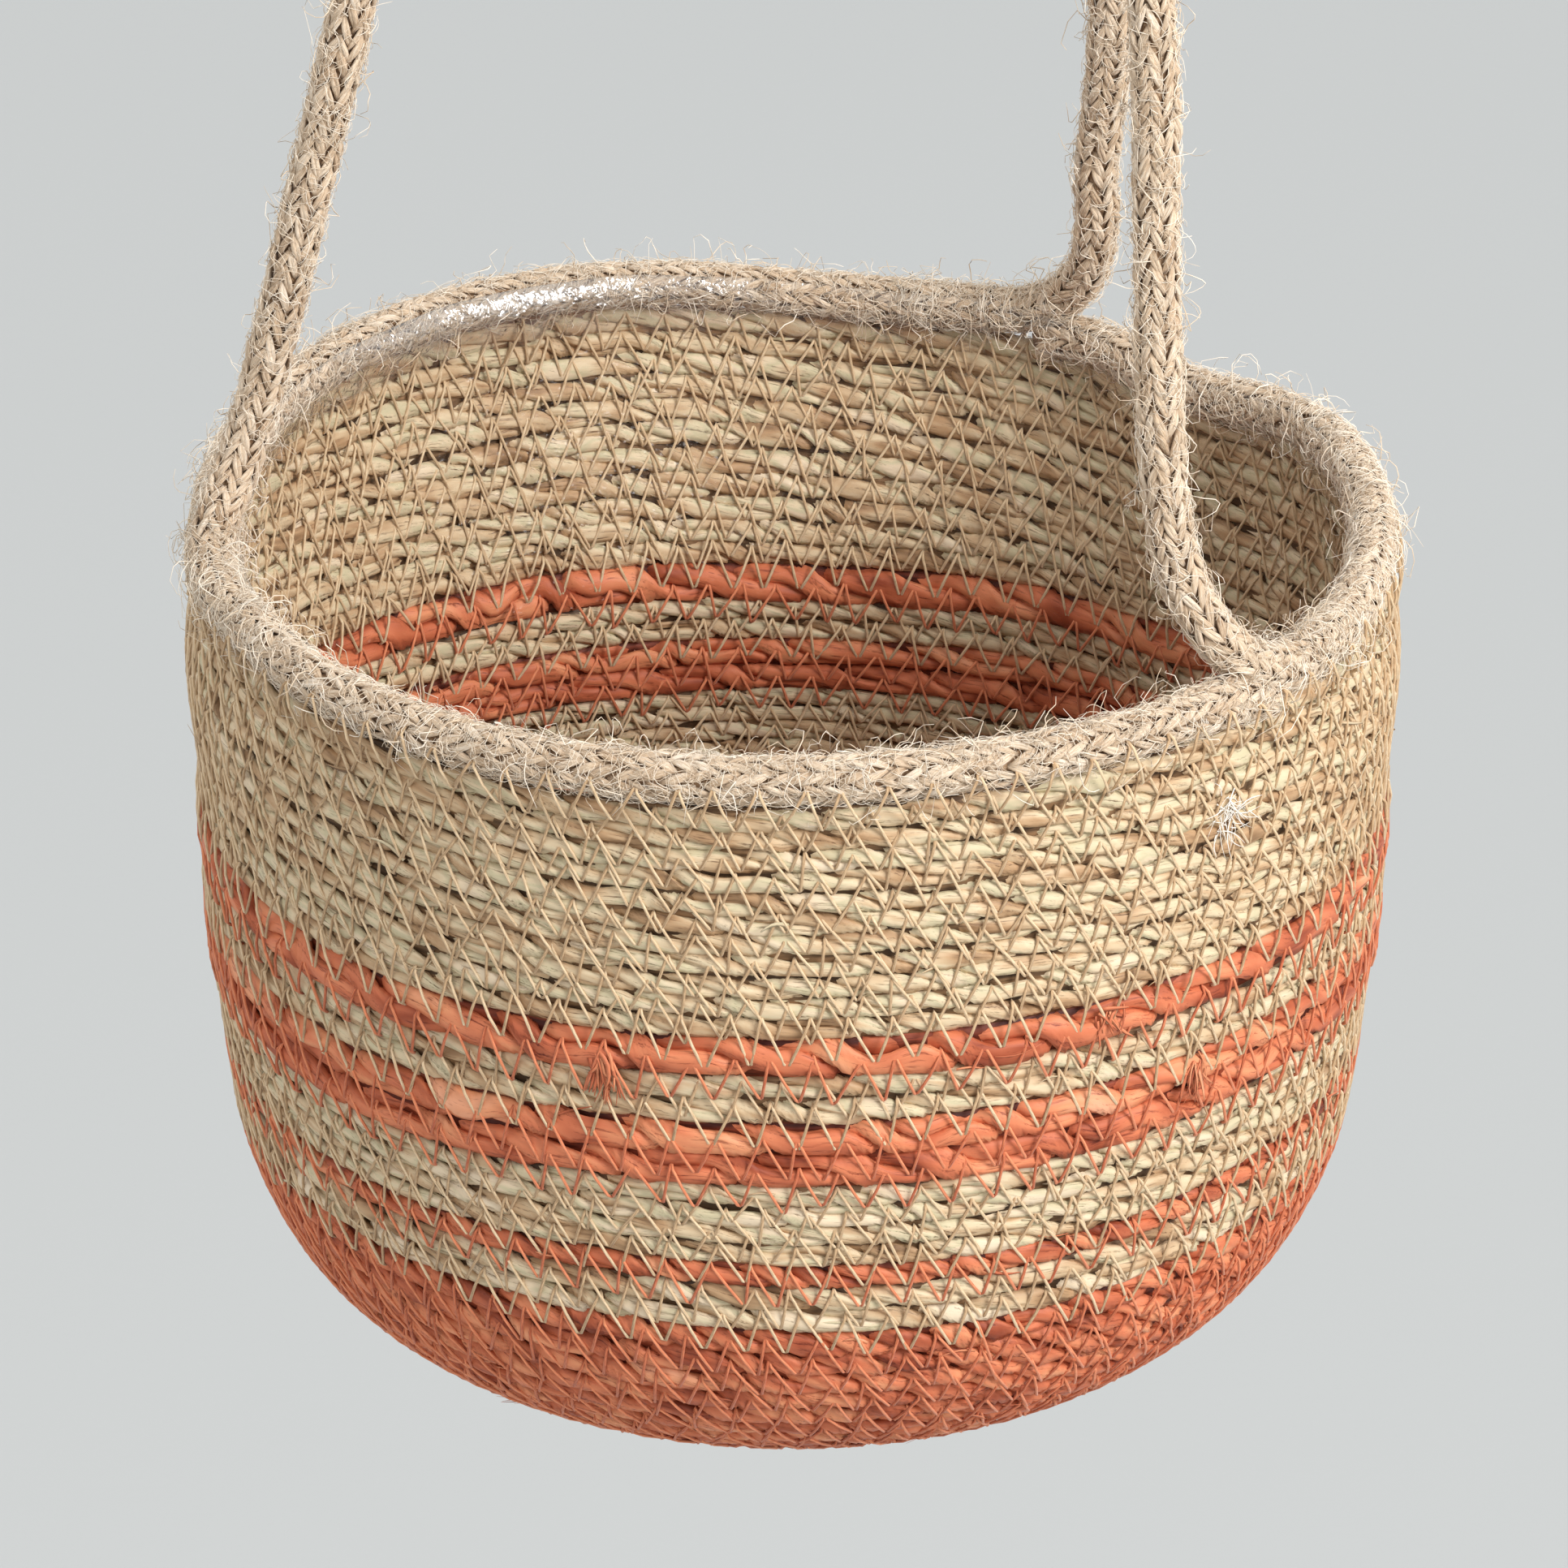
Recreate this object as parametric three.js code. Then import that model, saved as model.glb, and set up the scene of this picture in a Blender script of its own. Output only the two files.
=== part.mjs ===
import * as THREE from 'three';

// Hanging planter: a basket coiled and sewn from seagrass cord, with a jute cord rim and three jute hangers.
// Millimetres, Z up. The origin is the point under the top bend of the hanging loop, where a hook carries it.

// Clearances
const touchGap = 0.3;
const turnGap = 0.4;

// Jute cord, the same for the rim, the hangers and the loop
const cordDiameter = 8;
const cordRadius = cordDiameter / 2;
const cordSides = 8;
const cordStep = 2 * cordDiameter;

// Hanging loop over the hook
const loopHalfWidth = 16;
const loopHeight = 46;
const loopSteps = 26;
const loopWaistShare = 0.6;
const loopWaistDepthShare = 0.64;
const loopNeckDepthShare = 0.88;

// Knot and whipping that gather the three cords
const knotRadius = 11;
const knotSegments = 20;
const knotRings = 14;
const whippingLength = 24;
const whippingThread = 2;
const whippingEdge = 1.6;

// Basket
const rimRadius = 96;
const bodyDepth = 140.8;
const wallTopRadius = 96.8;
const bellyRadius = 96.4;
const shoulderRadius = 90.4;
const baseRadius = 46;
const roundSegments = 30;
const bellyDepthShare = 0.427;
const shoulderDepthShare = 0.702;
const shoulderPullShare = 0.47;
const basePullShare = 0.54;
const ridgeShare = 0.32;
const baseThickness = 4.4;
const baseRowPitch = 5.1;
const footWidth = 3;

// Clear film liner
const filmThickness = 0.5;
const filmPoints = 9;

// Where each cord leaves the rim, as the angle from +X seen from above, and how it bends
const leftCordAngle = 184.2;
const frontCordAngle = -47.6;
const backCordAngle = 55;
const bendRun = 24;
const tailRun = 4;

// The free stretch of each cord, from the whipping down into the rim, measured from the rim's centre
const cordDrop = 400;
const leftCordRoute = [
  [-4.85, 0, 400], [-4.9, 0, 390], [-6, 0, 376], [-9.9, -0.2, 355], [-22.5, -0.9, 300],
  [-38.3, -2.2, 230], [-53.1, -3.7, 165], [-69.4, -5.1, 92.5], [-77.3, -5.7, 60], [-80.8, -5.9, 45],
  [-84, -5.8, 32], [-87, -6.8, 21], [-90.4, -10.1, 11.5], [-93.3, -15.8, 5], [-93.4, -20.8, 1.7],
  [-92.62, -25.24, 0.3], [-91.79, -28.12, 0.03], [-91.03, -30.5, 0],
];
const frontCordRoute = [
  [2.43, -4.2, 400], [2.6, -4.4, 390], [4.3, -7.1, 377], [9.4, -13.9, 356], [22.5, -26.8, 300],
  [36.3, -37.6, 230], [48, -45.7, 165], [54.9, -51.1, 110], [56, -56.6, 75], [56.7, -60.8, 50],
  [58, -64, 32], [60.2, -65.3, 21], [64.8, -65.8, 11.5], [70.1, -63.5, 5], [74.1, -60.5, 1.7],
  [77.11, -57.18, 0.3], [78.86, -54.74, 0.03], [80.26, -52.67, 0],
];
const backCordRoute = [
  [2.43, 4.2, 400], [2.6, 4.4, 390], [4.2, 7.2, 377], [8.7, 13.9, 356], [20.7, 28, 300],
  [32.5, 40.9, 230], [42.6, 51.7, 165], [49.7, 60.3, 108], [52.9, 66, 66], [52.4, 69.2, 47],
  [51.1, 72.4, 32], [51.4, 74.1, 21], [50.2, 77.8, 11.5], [46.7, 82.3, 5], [42.9, 85.5, 1.7],
  [38.98, 87.73, 0.3], [36.22, 88.9, 0.03], [33.9, 89.82, 0],
];

// Seagrass cord: how far apart its rows lie and how thick the wall is there
const fineRowPitch = 3.7;
const narrowRowPitch = 4.1;
const lowerRowPitch = 4.4;
const boldDyedPitch = 6.8;
const doubleDyedPitch = 5.9;
const slimDyedPitch = 4.2;
const naturalThickness = 4;
const boldDyedThickness = 5;
const lowerThickness = 4.4;

// Rows of seagrass cord down the wall, from under the rim to the base
const wallRows = [
  { name: 'upper_natural_rows', rows: 11, pitch: fineRowPitch, thickness: naturalThickness, dyed: false },
  { name: 'upper_terracotta_row', rows: 1, pitch: boldDyedPitch, thickness: boldDyedThickness, dyed: true },
  { name: 'narrow_natural_rows', rows: 2, pitch: narrowRowPitch, thickness: naturalThickness, dyed: false },
  { name: 'double_terracotta_rows', rows: 2, pitch: doubleDyedPitch, thickness: boldDyedThickness, dyed: true },
  { name: 'middle_natural_rows', rows: 4, pitch: fineRowPitch, thickness: naturalThickness, dyed: false },
  { name: 'lower_terracotta_row', rows: 1, pitch: slimDyedPitch, thickness: lowerThickness, dyed: true },
  { name: 'lower_natural_rows', rows: 2, pitch: lowerRowPitch, thickness: lowerThickness, dyed: false },
];

// Heights that follow
const knotHeight = -(loopHeight + turnGap + knotRadius);
const whippingTop = knotHeight - knotRadius - turnGap;
const rimHeight = whippingTop - whippingLength - touchGap - cordDrop;
const wallTopDepth = cordRadius + touchGap;
const thickestRow = Math.max(baseThickness, ...wallRows.map((band) => band.thickness));

const jute = new THREE.MeshStandardMaterial({ color: '#d9c4a4', roughness: 0.95, metalness: 0 });
const naturalSeagrass = new THREE.MeshStandardMaterial({ color: '#cbb387', roughness: 0.8, metalness: 0 });
const dyedSeagrass = new THREE.MeshStandardMaterial({ color: '#c0693f', roughness: 0.8, metalness: 0 });
const clearFilm = new THREE.MeshStandardMaterial({
  color: '#e9edf0', roughness: 0.2, metalness: 0, transparent: true, opacity: 0.3,
});

function namedMesh(name, geometry, material) {
  const mesh = new THREE.Mesh(geometry, material);
  mesh.name = name;
  return mesh;
}

function cordSection() {
  const section = new THREE.Shape();
  for (let side = 0; side < cordSides; side += 1) {
    const angle = (2 * Math.PI * side) / cordSides;
    const x = cordRadius * Math.cos(angle);
    const y = cordRadius * Math.sin(angle);
    if (side === 0) section.moveTo(x, y);
    else section.lineTo(x, y);
  }
  section.closePath();
  return section;
}

function cordAlong(path, steps) {
  return new THREE.ExtrudeGeometry(cordSection(), { steps, bevelEnabled: false, extrudePath: path });
}

// The centre line of the basket's wall: nearly upright, then drawn in round a soft corner to the flat base
function bodyLine() {
  const shoulderDepth = bodyDepth * shoulderDepthShare;
  const baseDepth = bodyDepth - baseThickness / 2;
  const top = new THREE.Vector2(wallTopRadius, -wallTopDepth);
  const belly = new THREE.Vector2(bellyRadius, -bodyDepth * bellyDepthShare);
  const shoulder = new THREE.Vector2(shoulderRadius, -shoulderDepth);
  const foot = new THREE.Vector2(baseRadius, -baseDepth);
  const shoulderPull = shoulder.clone().sub(belly).normalize();
  shoulderPull.multiplyScalar((baseDepth - shoulderDepth) * shoulderPullShare).add(shoulder);
  const footPull = foot.clone();
  footPull.x += (shoulderRadius - baseRadius) * basePullShare;
  const line = new THREE.CurvePath();
  line.add(new THREE.QuadraticBezierCurve(top, belly, shoulder));
  line.add(new THREE.CubicBezierCurve(shoulder, shoulderPull, footPull, foot));
  return line;
}

const wallLine = bodyLine();
const wallLength = wallLine.getLength();

// A point beside the wall's centre line: run along it from the top, and offset outwards from it
function besideWall(run, offset) {
  const share = Math.min(Math.max(run / wallLength, 0), 1);
  const point = wallLine.getPoint(share);
  const along = wallLine.getTangent(share);
  return new THREE.Vector2(point.x - along.y * offset, point.y + along.x * offset);
}

// Rows as ridges on the outside, one ridge to a row, and their flat backs on the inside
function rowOutline(start, rows, pitch, thickness) {
  const outside = [];
  const inside = [];
  const half = thickness / 2;
  const first = start + touchGap / 2;
  const last = start + rows * pitch - touchGap / 2;
  const valley = half * (1 - ridgeShare);
  for (let row = 0; row < rows; row += 1) {
    const rowStart = row === 0 ? first : start + row * pitch;
    outside.push(besideWall(rowStart, valley));
    outside.push(besideWall(start + (row + 0.5) * pitch, half));
    inside.push(besideWall(rowStart, -half));
  }
  outside.push(besideWall(last, valley));
  inside.push(besideWall(last, -half));
  return { outside, inside };
}

function rowBand(band, start) {
  const { outside, inside } = rowOutline(start, band.rows, band.pitch, band.thickness);
  const outline = [...inside, ...outside.reverse()];
  outline.push(outline[0].clone());
  const material = band.dyed ? dyedSeagrass : naturalSeagrass;
  return namedMesh(band.name, turned(outline), material);
}

// A lathe turns about +Y, so its solid is laid over to turn about +Z
function turned(outline) {
  const solid = new THREE.LatheGeometry(outline, roundSegments);
  solid.rotateX(Math.PI / 2);
  return solid;
}

function baseCoil(start) {
  const rows = Math.round((wallLength - start) / baseRowPitch);
  const pitch = (wallLength - start) / rows;
  const { outside, inside } = rowOutline(start, rows, pitch, baseThickness);
  outside.pop();
  inside.pop();
  const outline = [
    new THREE.Vector2(0, -bodyDepth),
    new THREE.Vector2(baseRadius, -bodyDepth),
    ...outside.reverse(),
    ...inside,
    new THREE.Vector2(baseRadius - footWidth, -bodyDepth + baseThickness),
    new THREE.Vector2(0, -bodyDepth + baseThickness),
  ];
  return namedMesh('terracotta_base', turned(outline), dyedSeagrass);
}

function filmLiner() {
  const outerOffset = -(thickestRow / 2 + touchGap);
  const innerOffset = outerOffset - filmThickness;
  const floor = -bodyDepth + baseThickness + touchGap;
  const outer = [];
  const inner = [];
  for (let step = 0; step < filmPoints; step += 1) {
    const run = (wallLength * step) / filmPoints;
    outer.push(besideWall(run, outerOffset));
    inner.push(besideWall(run, innerOffset));
  }
  const outline = [
    new THREE.Vector2(0, floor),
    new THREE.Vector2(baseRadius - footWidth, floor),
    ...outer.reverse(),
    ...inner,
    new THREE.Vector2(baseRadius - footWidth, floor + filmThickness),
    new THREE.Vector2(0, floor + filmThickness),
  ];
  return namedMesh('liner_film', turned(outline), clearFilm);
}

class RimArc extends THREE.Curve {
  constructor(start, end) {
    super();
    this.start = start;
    this.end = end;
  }

  getPoint(share, target = new THREE.Vector3()) {
    const angle = this.start + (this.end - this.start) * share;
    return target.set(rimRadius * Math.cos(angle), rimRadius * Math.sin(angle), 0);
  }
}

// One third of the rim, from where its cord has bent level to just under the next cord's bend
function rimCord(name, fromDegrees, toDegrees) {
  const start = THREE.MathUtils.degToRad(fromDegrees) + (bendRun + touchGap) / rimRadius;
  let end = THREE.MathUtils.degToRad(toDegrees) + tailRun / rimRadius;
  while (end < start) end += 2 * Math.PI;
  const steps = Math.round(((end - start) * rimRadius) / cordStep);
  return namedMesh(name, cordAlong(new RimArc(start, end), steps), jute);
}

function hangingCord(name, route) {
  const path = new THREE.CatmullRomCurve3(route.map((place) => new THREE.Vector3(...place)));
  const steps = Math.round(path.getLength() / cordStep);
  return namedMesh(name, cordAlong(path, steps), jute);
}

// The loop is one bight of cord whose two legs come down side by side on the knot
function hangingLoop() {
  const leg = cordRadius + touchGap / 2;
  const bendCentre = cordRadius - loopHalfWidth;
  const half = [
    [leg, -loopHeight],
    [leg, -loopHeight * loopNeckDepthShare],
    [loopHalfWidth * loopWaistShare, -loopHeight * loopWaistDepthShare],
    [loopHalfWidth, bendCentre],
    [loopHalfWidth * Math.SQRT1_2, bendCentre + loopHalfWidth * Math.SQRT1_2],
  ];
  const places = [
    ...half.map(([x, z]) => new THREE.Vector3(-x, 0, z)),
    new THREE.Vector3(0, 0, cordRadius),
    ...half.reverse().map(([x, z]) => new THREE.Vector3(x, 0, z)),
  ];
  return namedMesh('hanging_loop', cordAlong(new THREE.CatmullRomCurve3(places), loopSteps), jute);
}

function topKnot() {
  const ball = new THREE.SphereGeometry(knotRadius, knotSegments, knotRings);
  ball.rotateX(Math.PI / 2);
  const knot = namedMesh('top_knot', ball, jute);
  knot.position.z = knotHeight;
  return knot;
}

function cordWhipping() {
  const bundleRadius = (cordDiameter + turnGap) / Math.sqrt(3) + cordRadius;
  const radius = bundleRadius + whippingThread;
  const outline = [
    new THREE.Vector2(0, whippingTop - whippingLength),
    new THREE.Vector2(radius - whippingEdge, whippingTop - whippingLength),
    new THREE.Vector2(radius, whippingTop - whippingLength + whippingEdge),
    new THREE.Vector2(radius, whippingTop - whippingEdge),
    new THREE.Vector2(radius - whippingEdge, whippingTop),
    new THREE.Vector2(0, whippingTop),
  ];
  return namedMesh('cord_whipping', turned(outline), jute);
}

function basket() {
  const group = new THREE.Group();
  group.position.z = rimHeight;
  group.add(hangingCord('hanging_cord_left', leftCordRoute));
  group.add(hangingCord('hanging_cord_front', frontCordRoute));
  group.add(hangingCord('hanging_cord_back', backCordRoute));
  group.add(rimCord('rim_cord_front', leftCordAngle, frontCordAngle));
  group.add(rimCord('rim_cord_right', frontCordAngle, backCordAngle));
  group.add(rimCord('rim_cord_back', backCordAngle, leftCordAngle));
  let start = 0;
  for (const band of wallRows) {
    group.add(rowBand(band, start));
    start += band.rows * band.pitch;
  }
  group.add(baseCoil(start));
  group.add(filmLiner());
  return group;
}

const planter = new THREE.Group();
planter.add(hangingLoop());
planter.add(topKnot());
planter.add(cordWhipping());
planter.add(basket());

export default planter;
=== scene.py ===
# Hanging planter: a basket coiled from twisted seagrass, sewn with zigzag thread,
# with a jute rim, three jute hanging cords, a knot, a loop and a clear film liner.
import math

import bpy
import numpy as np
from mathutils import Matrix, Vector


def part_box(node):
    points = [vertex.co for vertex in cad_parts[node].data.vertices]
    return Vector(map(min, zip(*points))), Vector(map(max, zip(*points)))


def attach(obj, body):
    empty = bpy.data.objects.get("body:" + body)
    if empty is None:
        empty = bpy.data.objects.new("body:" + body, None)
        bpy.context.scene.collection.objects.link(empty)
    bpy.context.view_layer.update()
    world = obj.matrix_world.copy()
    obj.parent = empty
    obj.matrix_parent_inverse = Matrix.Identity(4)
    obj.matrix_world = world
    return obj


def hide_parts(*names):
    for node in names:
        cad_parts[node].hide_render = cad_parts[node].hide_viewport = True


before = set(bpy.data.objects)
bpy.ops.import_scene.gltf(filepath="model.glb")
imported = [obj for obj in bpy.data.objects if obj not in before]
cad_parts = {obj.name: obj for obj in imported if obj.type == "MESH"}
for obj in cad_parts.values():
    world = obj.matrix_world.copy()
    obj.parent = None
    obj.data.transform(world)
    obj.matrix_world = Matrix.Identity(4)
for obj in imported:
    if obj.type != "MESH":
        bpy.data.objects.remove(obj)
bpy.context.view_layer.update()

mm = 0.001
anyTurn = 6.28            # radians, for a random start anywhere round
probe = 1 * mm            # a short step off a surface, to find which way is out
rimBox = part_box("rim_cord_right")
cordRadius = (rimBox[1][2] - rimBox[0][2]) / 2
rimHeight = (rimBox[1][2] + rimBox[0][2]) / 2
rimRadius = 96 * mm


# camera

cameraView = {
    "elevation": 26,          # degrees above level
    "distance": 1.6,
    "pixelsPerMetre": 7470,   # at the target, in a frame as wide as the photo
    "frameWidth": 1932,       # pixels
    "sensorWidth": 36,        # mm
    "nearest": 0.05,          # anything closer isn't drawn
    "target": (-1.4 * mm, 0, rimHeight - 48 * mm),
}


def makeCamera(view):
    data = bpy.data.cameras.new("camera")
    camera = bpy.data.objects.new("camera", data)
    bpy.context.scene.collection.objects.link(camera)
    tilt = math.radians(view["elevation"])
    x, y, z = view["target"]
    camera.location = (x, y - view["distance"] * math.cos(tilt), z + view["distance"] * math.sin(tilt))
    camera.rotation_euler = (math.pi / 2 - tilt, 0, 0)
    data.sensor_width = view["sensorWidth"]
    data.lens = view["distance"] * view["pixelsPerMetre"] / view["frameWidth"] * data.sensor_width
    data.clip_start = view["nearest"]
    bpy.context.scene.camera = camera


makeCamera(cameraView)
print("camera placed")


# shapes: curves, tubes and meshes

curvePoints = 24   # worked out between two given points of a curve


def smoothLine(points, step):
    # centripetal Catmull-Rom through the points, sampled evenly
    places = np.array(points, float)
    places = np.vstack([2 * places[0] - places[1], places, 2 * places[-1] - places[-2]])
    out = []
    for i in range(1, len(places) - 2):
        p0, p1, p2, p3 = places[i - 1:i + 3]
        t1 = np.linalg.norm(p1 - p0) ** 0.5
        t2 = t1 + np.linalg.norm(p2 - p1) ** 0.5
        t3 = t2 + np.linalg.norm(p3 - p2) ** 0.5
        t = np.linspace(t1, t2, curvePoints, endpoint=False)[:, None]
        a1 = (t1 - t) / t1 * p0 + t / t1 * p1
        a2 = (t2 - t) / (t2 - t1) * p1 + (t - t1) / (t2 - t1) * p2
        a3 = (t3 - t) / (t3 - t2) * p2 + (t - t2) / (t3 - t2) * p3
        b1 = (t2 - t) / t2 * a1 + t / t2 * a2
        b2 = (t3 - t) / (t3 - t1) * a2 + (t - t1) / (t3 - t1) * a3
        out.append((t2 - t) / (t2 - t1) * b1 + (t - t1) / (t2 - t1) * b2)
    out.append(places[-2][None])
    return evenly(np.vstack(out), step)


def lengthsAlong(line):
    return np.concatenate([[0], np.cumsum(np.linalg.norm(np.diff(line, axis=0), axis=1))])


def evenly(line, step):
    run = lengthsAlong(line)
    at = np.linspace(0, run[-1], max(2, round(run[-1] / step) + 1))
    return np.stack([np.interp(at, run, line[:, k]) for k in range(3)], axis=1)


def unit(vectors):
    return vectors / np.maximum(np.linalg.norm(vectors, axis=-1, keepdims=True), 1e-12)


class Guide:
    # a line with two side directions that don't twist round it
    def __init__(self, line, firstSide):
        self.line = line
        self.run = lengthsAlong(line)
        self.along = unit(np.gradient(line, axis=0))
        side = np.array(firstSide, float)
        sides = []
        for direction in self.along:
            side = side - direction * side.dot(direction)
            side = side / np.linalg.norm(side)
            sides.append(side)
        self.side = np.array(sides)
        self.other = np.cross(self.along, self.side)

    def at(self, run, angle, radius):
        places = []
        for source in (self.line, self.side, self.other):
            places.append(np.stack([np.interp(run, self.run, source[:, k]) for k in range(3)], axis=-1))
        radial = unit(places[1] * np.cos(angle)[..., None] + places[2] * np.sin(angle)[..., None])
        return places[0] + radial * radius[..., None], radial


def tubes(centres, ups, flatRadii, wideRadii, sides, tone, closed=False, grainStart=None):
    # one tube for each row of centres, with flatRadii along ups and wideRadii across them
    count, rings = centres.shape[:2]
    if closed:
        along = unit(np.roll(centres, -1, axis=1) - np.roll(centres, 1, axis=1))
    else:
        along = unit(np.gradient(centres, axis=1))
    across = unit(np.cross(along, ups))
    normal = np.cross(across, along)
    turn = np.arange(sides) * 2 * np.pi / sides
    ring = (
        centres[:, :, None]
        + normal[:, :, None] * (flatRadii[:, :, None] * np.cos(turn))[..., None]
        + across[:, :, None] * (wideRadii[:, :, None] * np.sin(turn))[..., None]
    )
    steps = np.linalg.norm(np.diff(centres, axis=1), axis=2)
    run = np.concatenate([np.zeros((count, 1)), np.cumsum(steps, axis=1)], axis=1) / mm
    if grainStart is not None:
        run = run + grainStart[:, None]
    shape = (count, rings, sides)
    grain = np.stack([
        np.broadcast_to(run[:, :, None], shape),
        np.broadcast_to(np.cos(turn), shape),
        np.broadcast_to(np.sin(turn), shape),
    ], axis=-1)
    tones = np.broadcast_to(np.reshape(tone, (count, -1, 1)), shape)
    return {"verts": ring.reshape(-1, 3), "faces": tubeFaces(count, rings, sides, closed),
            "grain": grain.reshape(-1, 3), "tone": tones.reshape(-1)}


def tubeFaces(count, rings, sides, closed):
    first = (np.arange(count) * rings * sides)[:, None, None]
    ring = np.arange(rings if closed else rings - 1)[None, :, None]
    side = np.arange(sides)[None, None, :]
    nextRing = (ring + 1) % rings
    nextSide = (side + 1) % sides
    a = first + ring * sides + side
    b = first + ring * sides + nextSide
    c = first + nextRing * sides + nextSide
    d = first + nextRing * sides + side
    quads = np.stack([a, b, c, d], axis=-1).reshape(-1, 4)
    if closed:
        return [quads]
    starts = (np.arange(count) * rings * sides)[:, None] + np.arange(sides)[::-1]
    ends = (np.arange(count) * rings * sides + (rings - 1) * sides)[:, None] + np.arange(sides)
    return [quads, starts, ends]


def joined(parts):
    out = {"verts": [], "faces": [], "grain": [], "tone": []}
    first = 0
    for part in parts:
        out["verts"].append(part["verts"])
        out["grain"].append(part["grain"])
        out["tone"].append(part["tone"])
        out["faces"].extend(faces + first for faces in part["faces"])
        first += len(part["verts"])
    for key in ("verts", "grain", "tone"):
        out[key] = np.concatenate(out[key])
    return out


def makePiece(name, shape, material, body):
    mesh = bpy.data.meshes.new(name)
    corners = np.concatenate([faces.reshape(-1) for faces in shape["faces"]])
    sizes = np.concatenate([np.full(len(faces), faces.shape[1]) for faces in shape["faces"]])
    mesh.vertices.add(len(shape["verts"]))
    mesh.vertices.foreach_set("co", shape["verts"].astype(np.float32).reshape(-1))
    mesh.loops.add(len(corners))
    mesh.loops.foreach_set("vertex_index", corners.astype(np.int32))
    mesh.polygons.add(len(sizes))
    mesh.polygons.foreach_set("loop_start", (np.cumsum(sizes) - sizes).astype(np.int32))
    mesh.polygons.foreach_set("use_smooth", np.ones(len(sizes), bool))
    grain = mesh.attributes.new("grain", "FLOAT_VECTOR", "POINT")
    grain.data.foreach_set("vector", shape["grain"].astype(np.float32).reshape(-1))
    tone = mesh.attributes.new("tone", "FLOAT", "POINT")
    tone.data.foreach_set("value", shape["tone"].astype(np.float32))
    mesh.update(calc_edges=True)
    mesh.validate()
    mesh.materials.append(material)
    piece = bpy.data.objects.new(name, mesh)
    bpy.context.scene.collection.objects.link(piece)
    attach(piece, body)
    return piece


def wobble(rng, angle, slowest, fastest):
    # smooth noise round a circle, about -1 to 1
    waves = 6
    total = np.zeros_like(angle)
    for _ in range(waves):
        total += np.cos(rng.integers(slowest, fastest + 1) * angle + rng.uniform(0, 2 * np.pi))
    return total * 2 / waves


def awayFrom(angle, degrees):
    # the angle to a place round the rim, from minus a half turn to a half turn
    return (angle - math.radians(degrees) + np.pi) % (2 * np.pi) - np.pi


def swell(t, end, power=1):
    # full in the middle and cut short before both ends
    return np.sin(np.pi * np.clip(t, end, 1 - end)) ** power


# materials

def colour(hexText):
    # from an sRGB hex value to linear red, green, blue and full opacity
    parts = [int(hexText[i:i + 2], 16) / 255 for i in (1, 3, 5)]
    return [c / 12.92 if c <= 0.04045 else ((c + 0.055) / 1.055) ** 2.4 for c in parts] + [1.0]


def addNode(tree, kind, values=None, links=None, stops=None, **settings):
    node = tree.nodes.new(kind)
    for key, value in settings.items():
        setattr(node, key, value)
    for key, value in (values or {}).items():
        node.inputs[key].default_value = value
    for key, source in (links or {}).items():
        tree.links.new(source, node.inputs[key])
    for i, (place, hexText) in enumerate(stops or []):
        ramp = node.color_ramp.elements
        stop = ramp[i] if i < 2 else ramp.new(place)
        stop.position = place
        stop.color = colour(hexText)
    return node


def newMaterial(name):
    material = bpy.data.materials.new(name)
    material.use_nodes = True
    tree = material.node_tree
    tree.nodes.clear()
    return material, tree


seagrassLook = {
    "leafLength": 14,        # mm, how far one leaf's colour runs along a strand
    "leafFineness": 0.45,    # leaves' colours round a strand
    "fibreLength": 9,        # mm, the length of a streak
    "fibreFineness": 2.2,    # streaks round a strand
    "fibreScale": 1.6,
    "roughness": 0.5,        # dry leaf skin keeps a slight gloss
    "ior": 1.45,
    "specular": 0.32,
    "bump": 0.35,
    "bumpDepth": 0.25 * mm,
}


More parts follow.
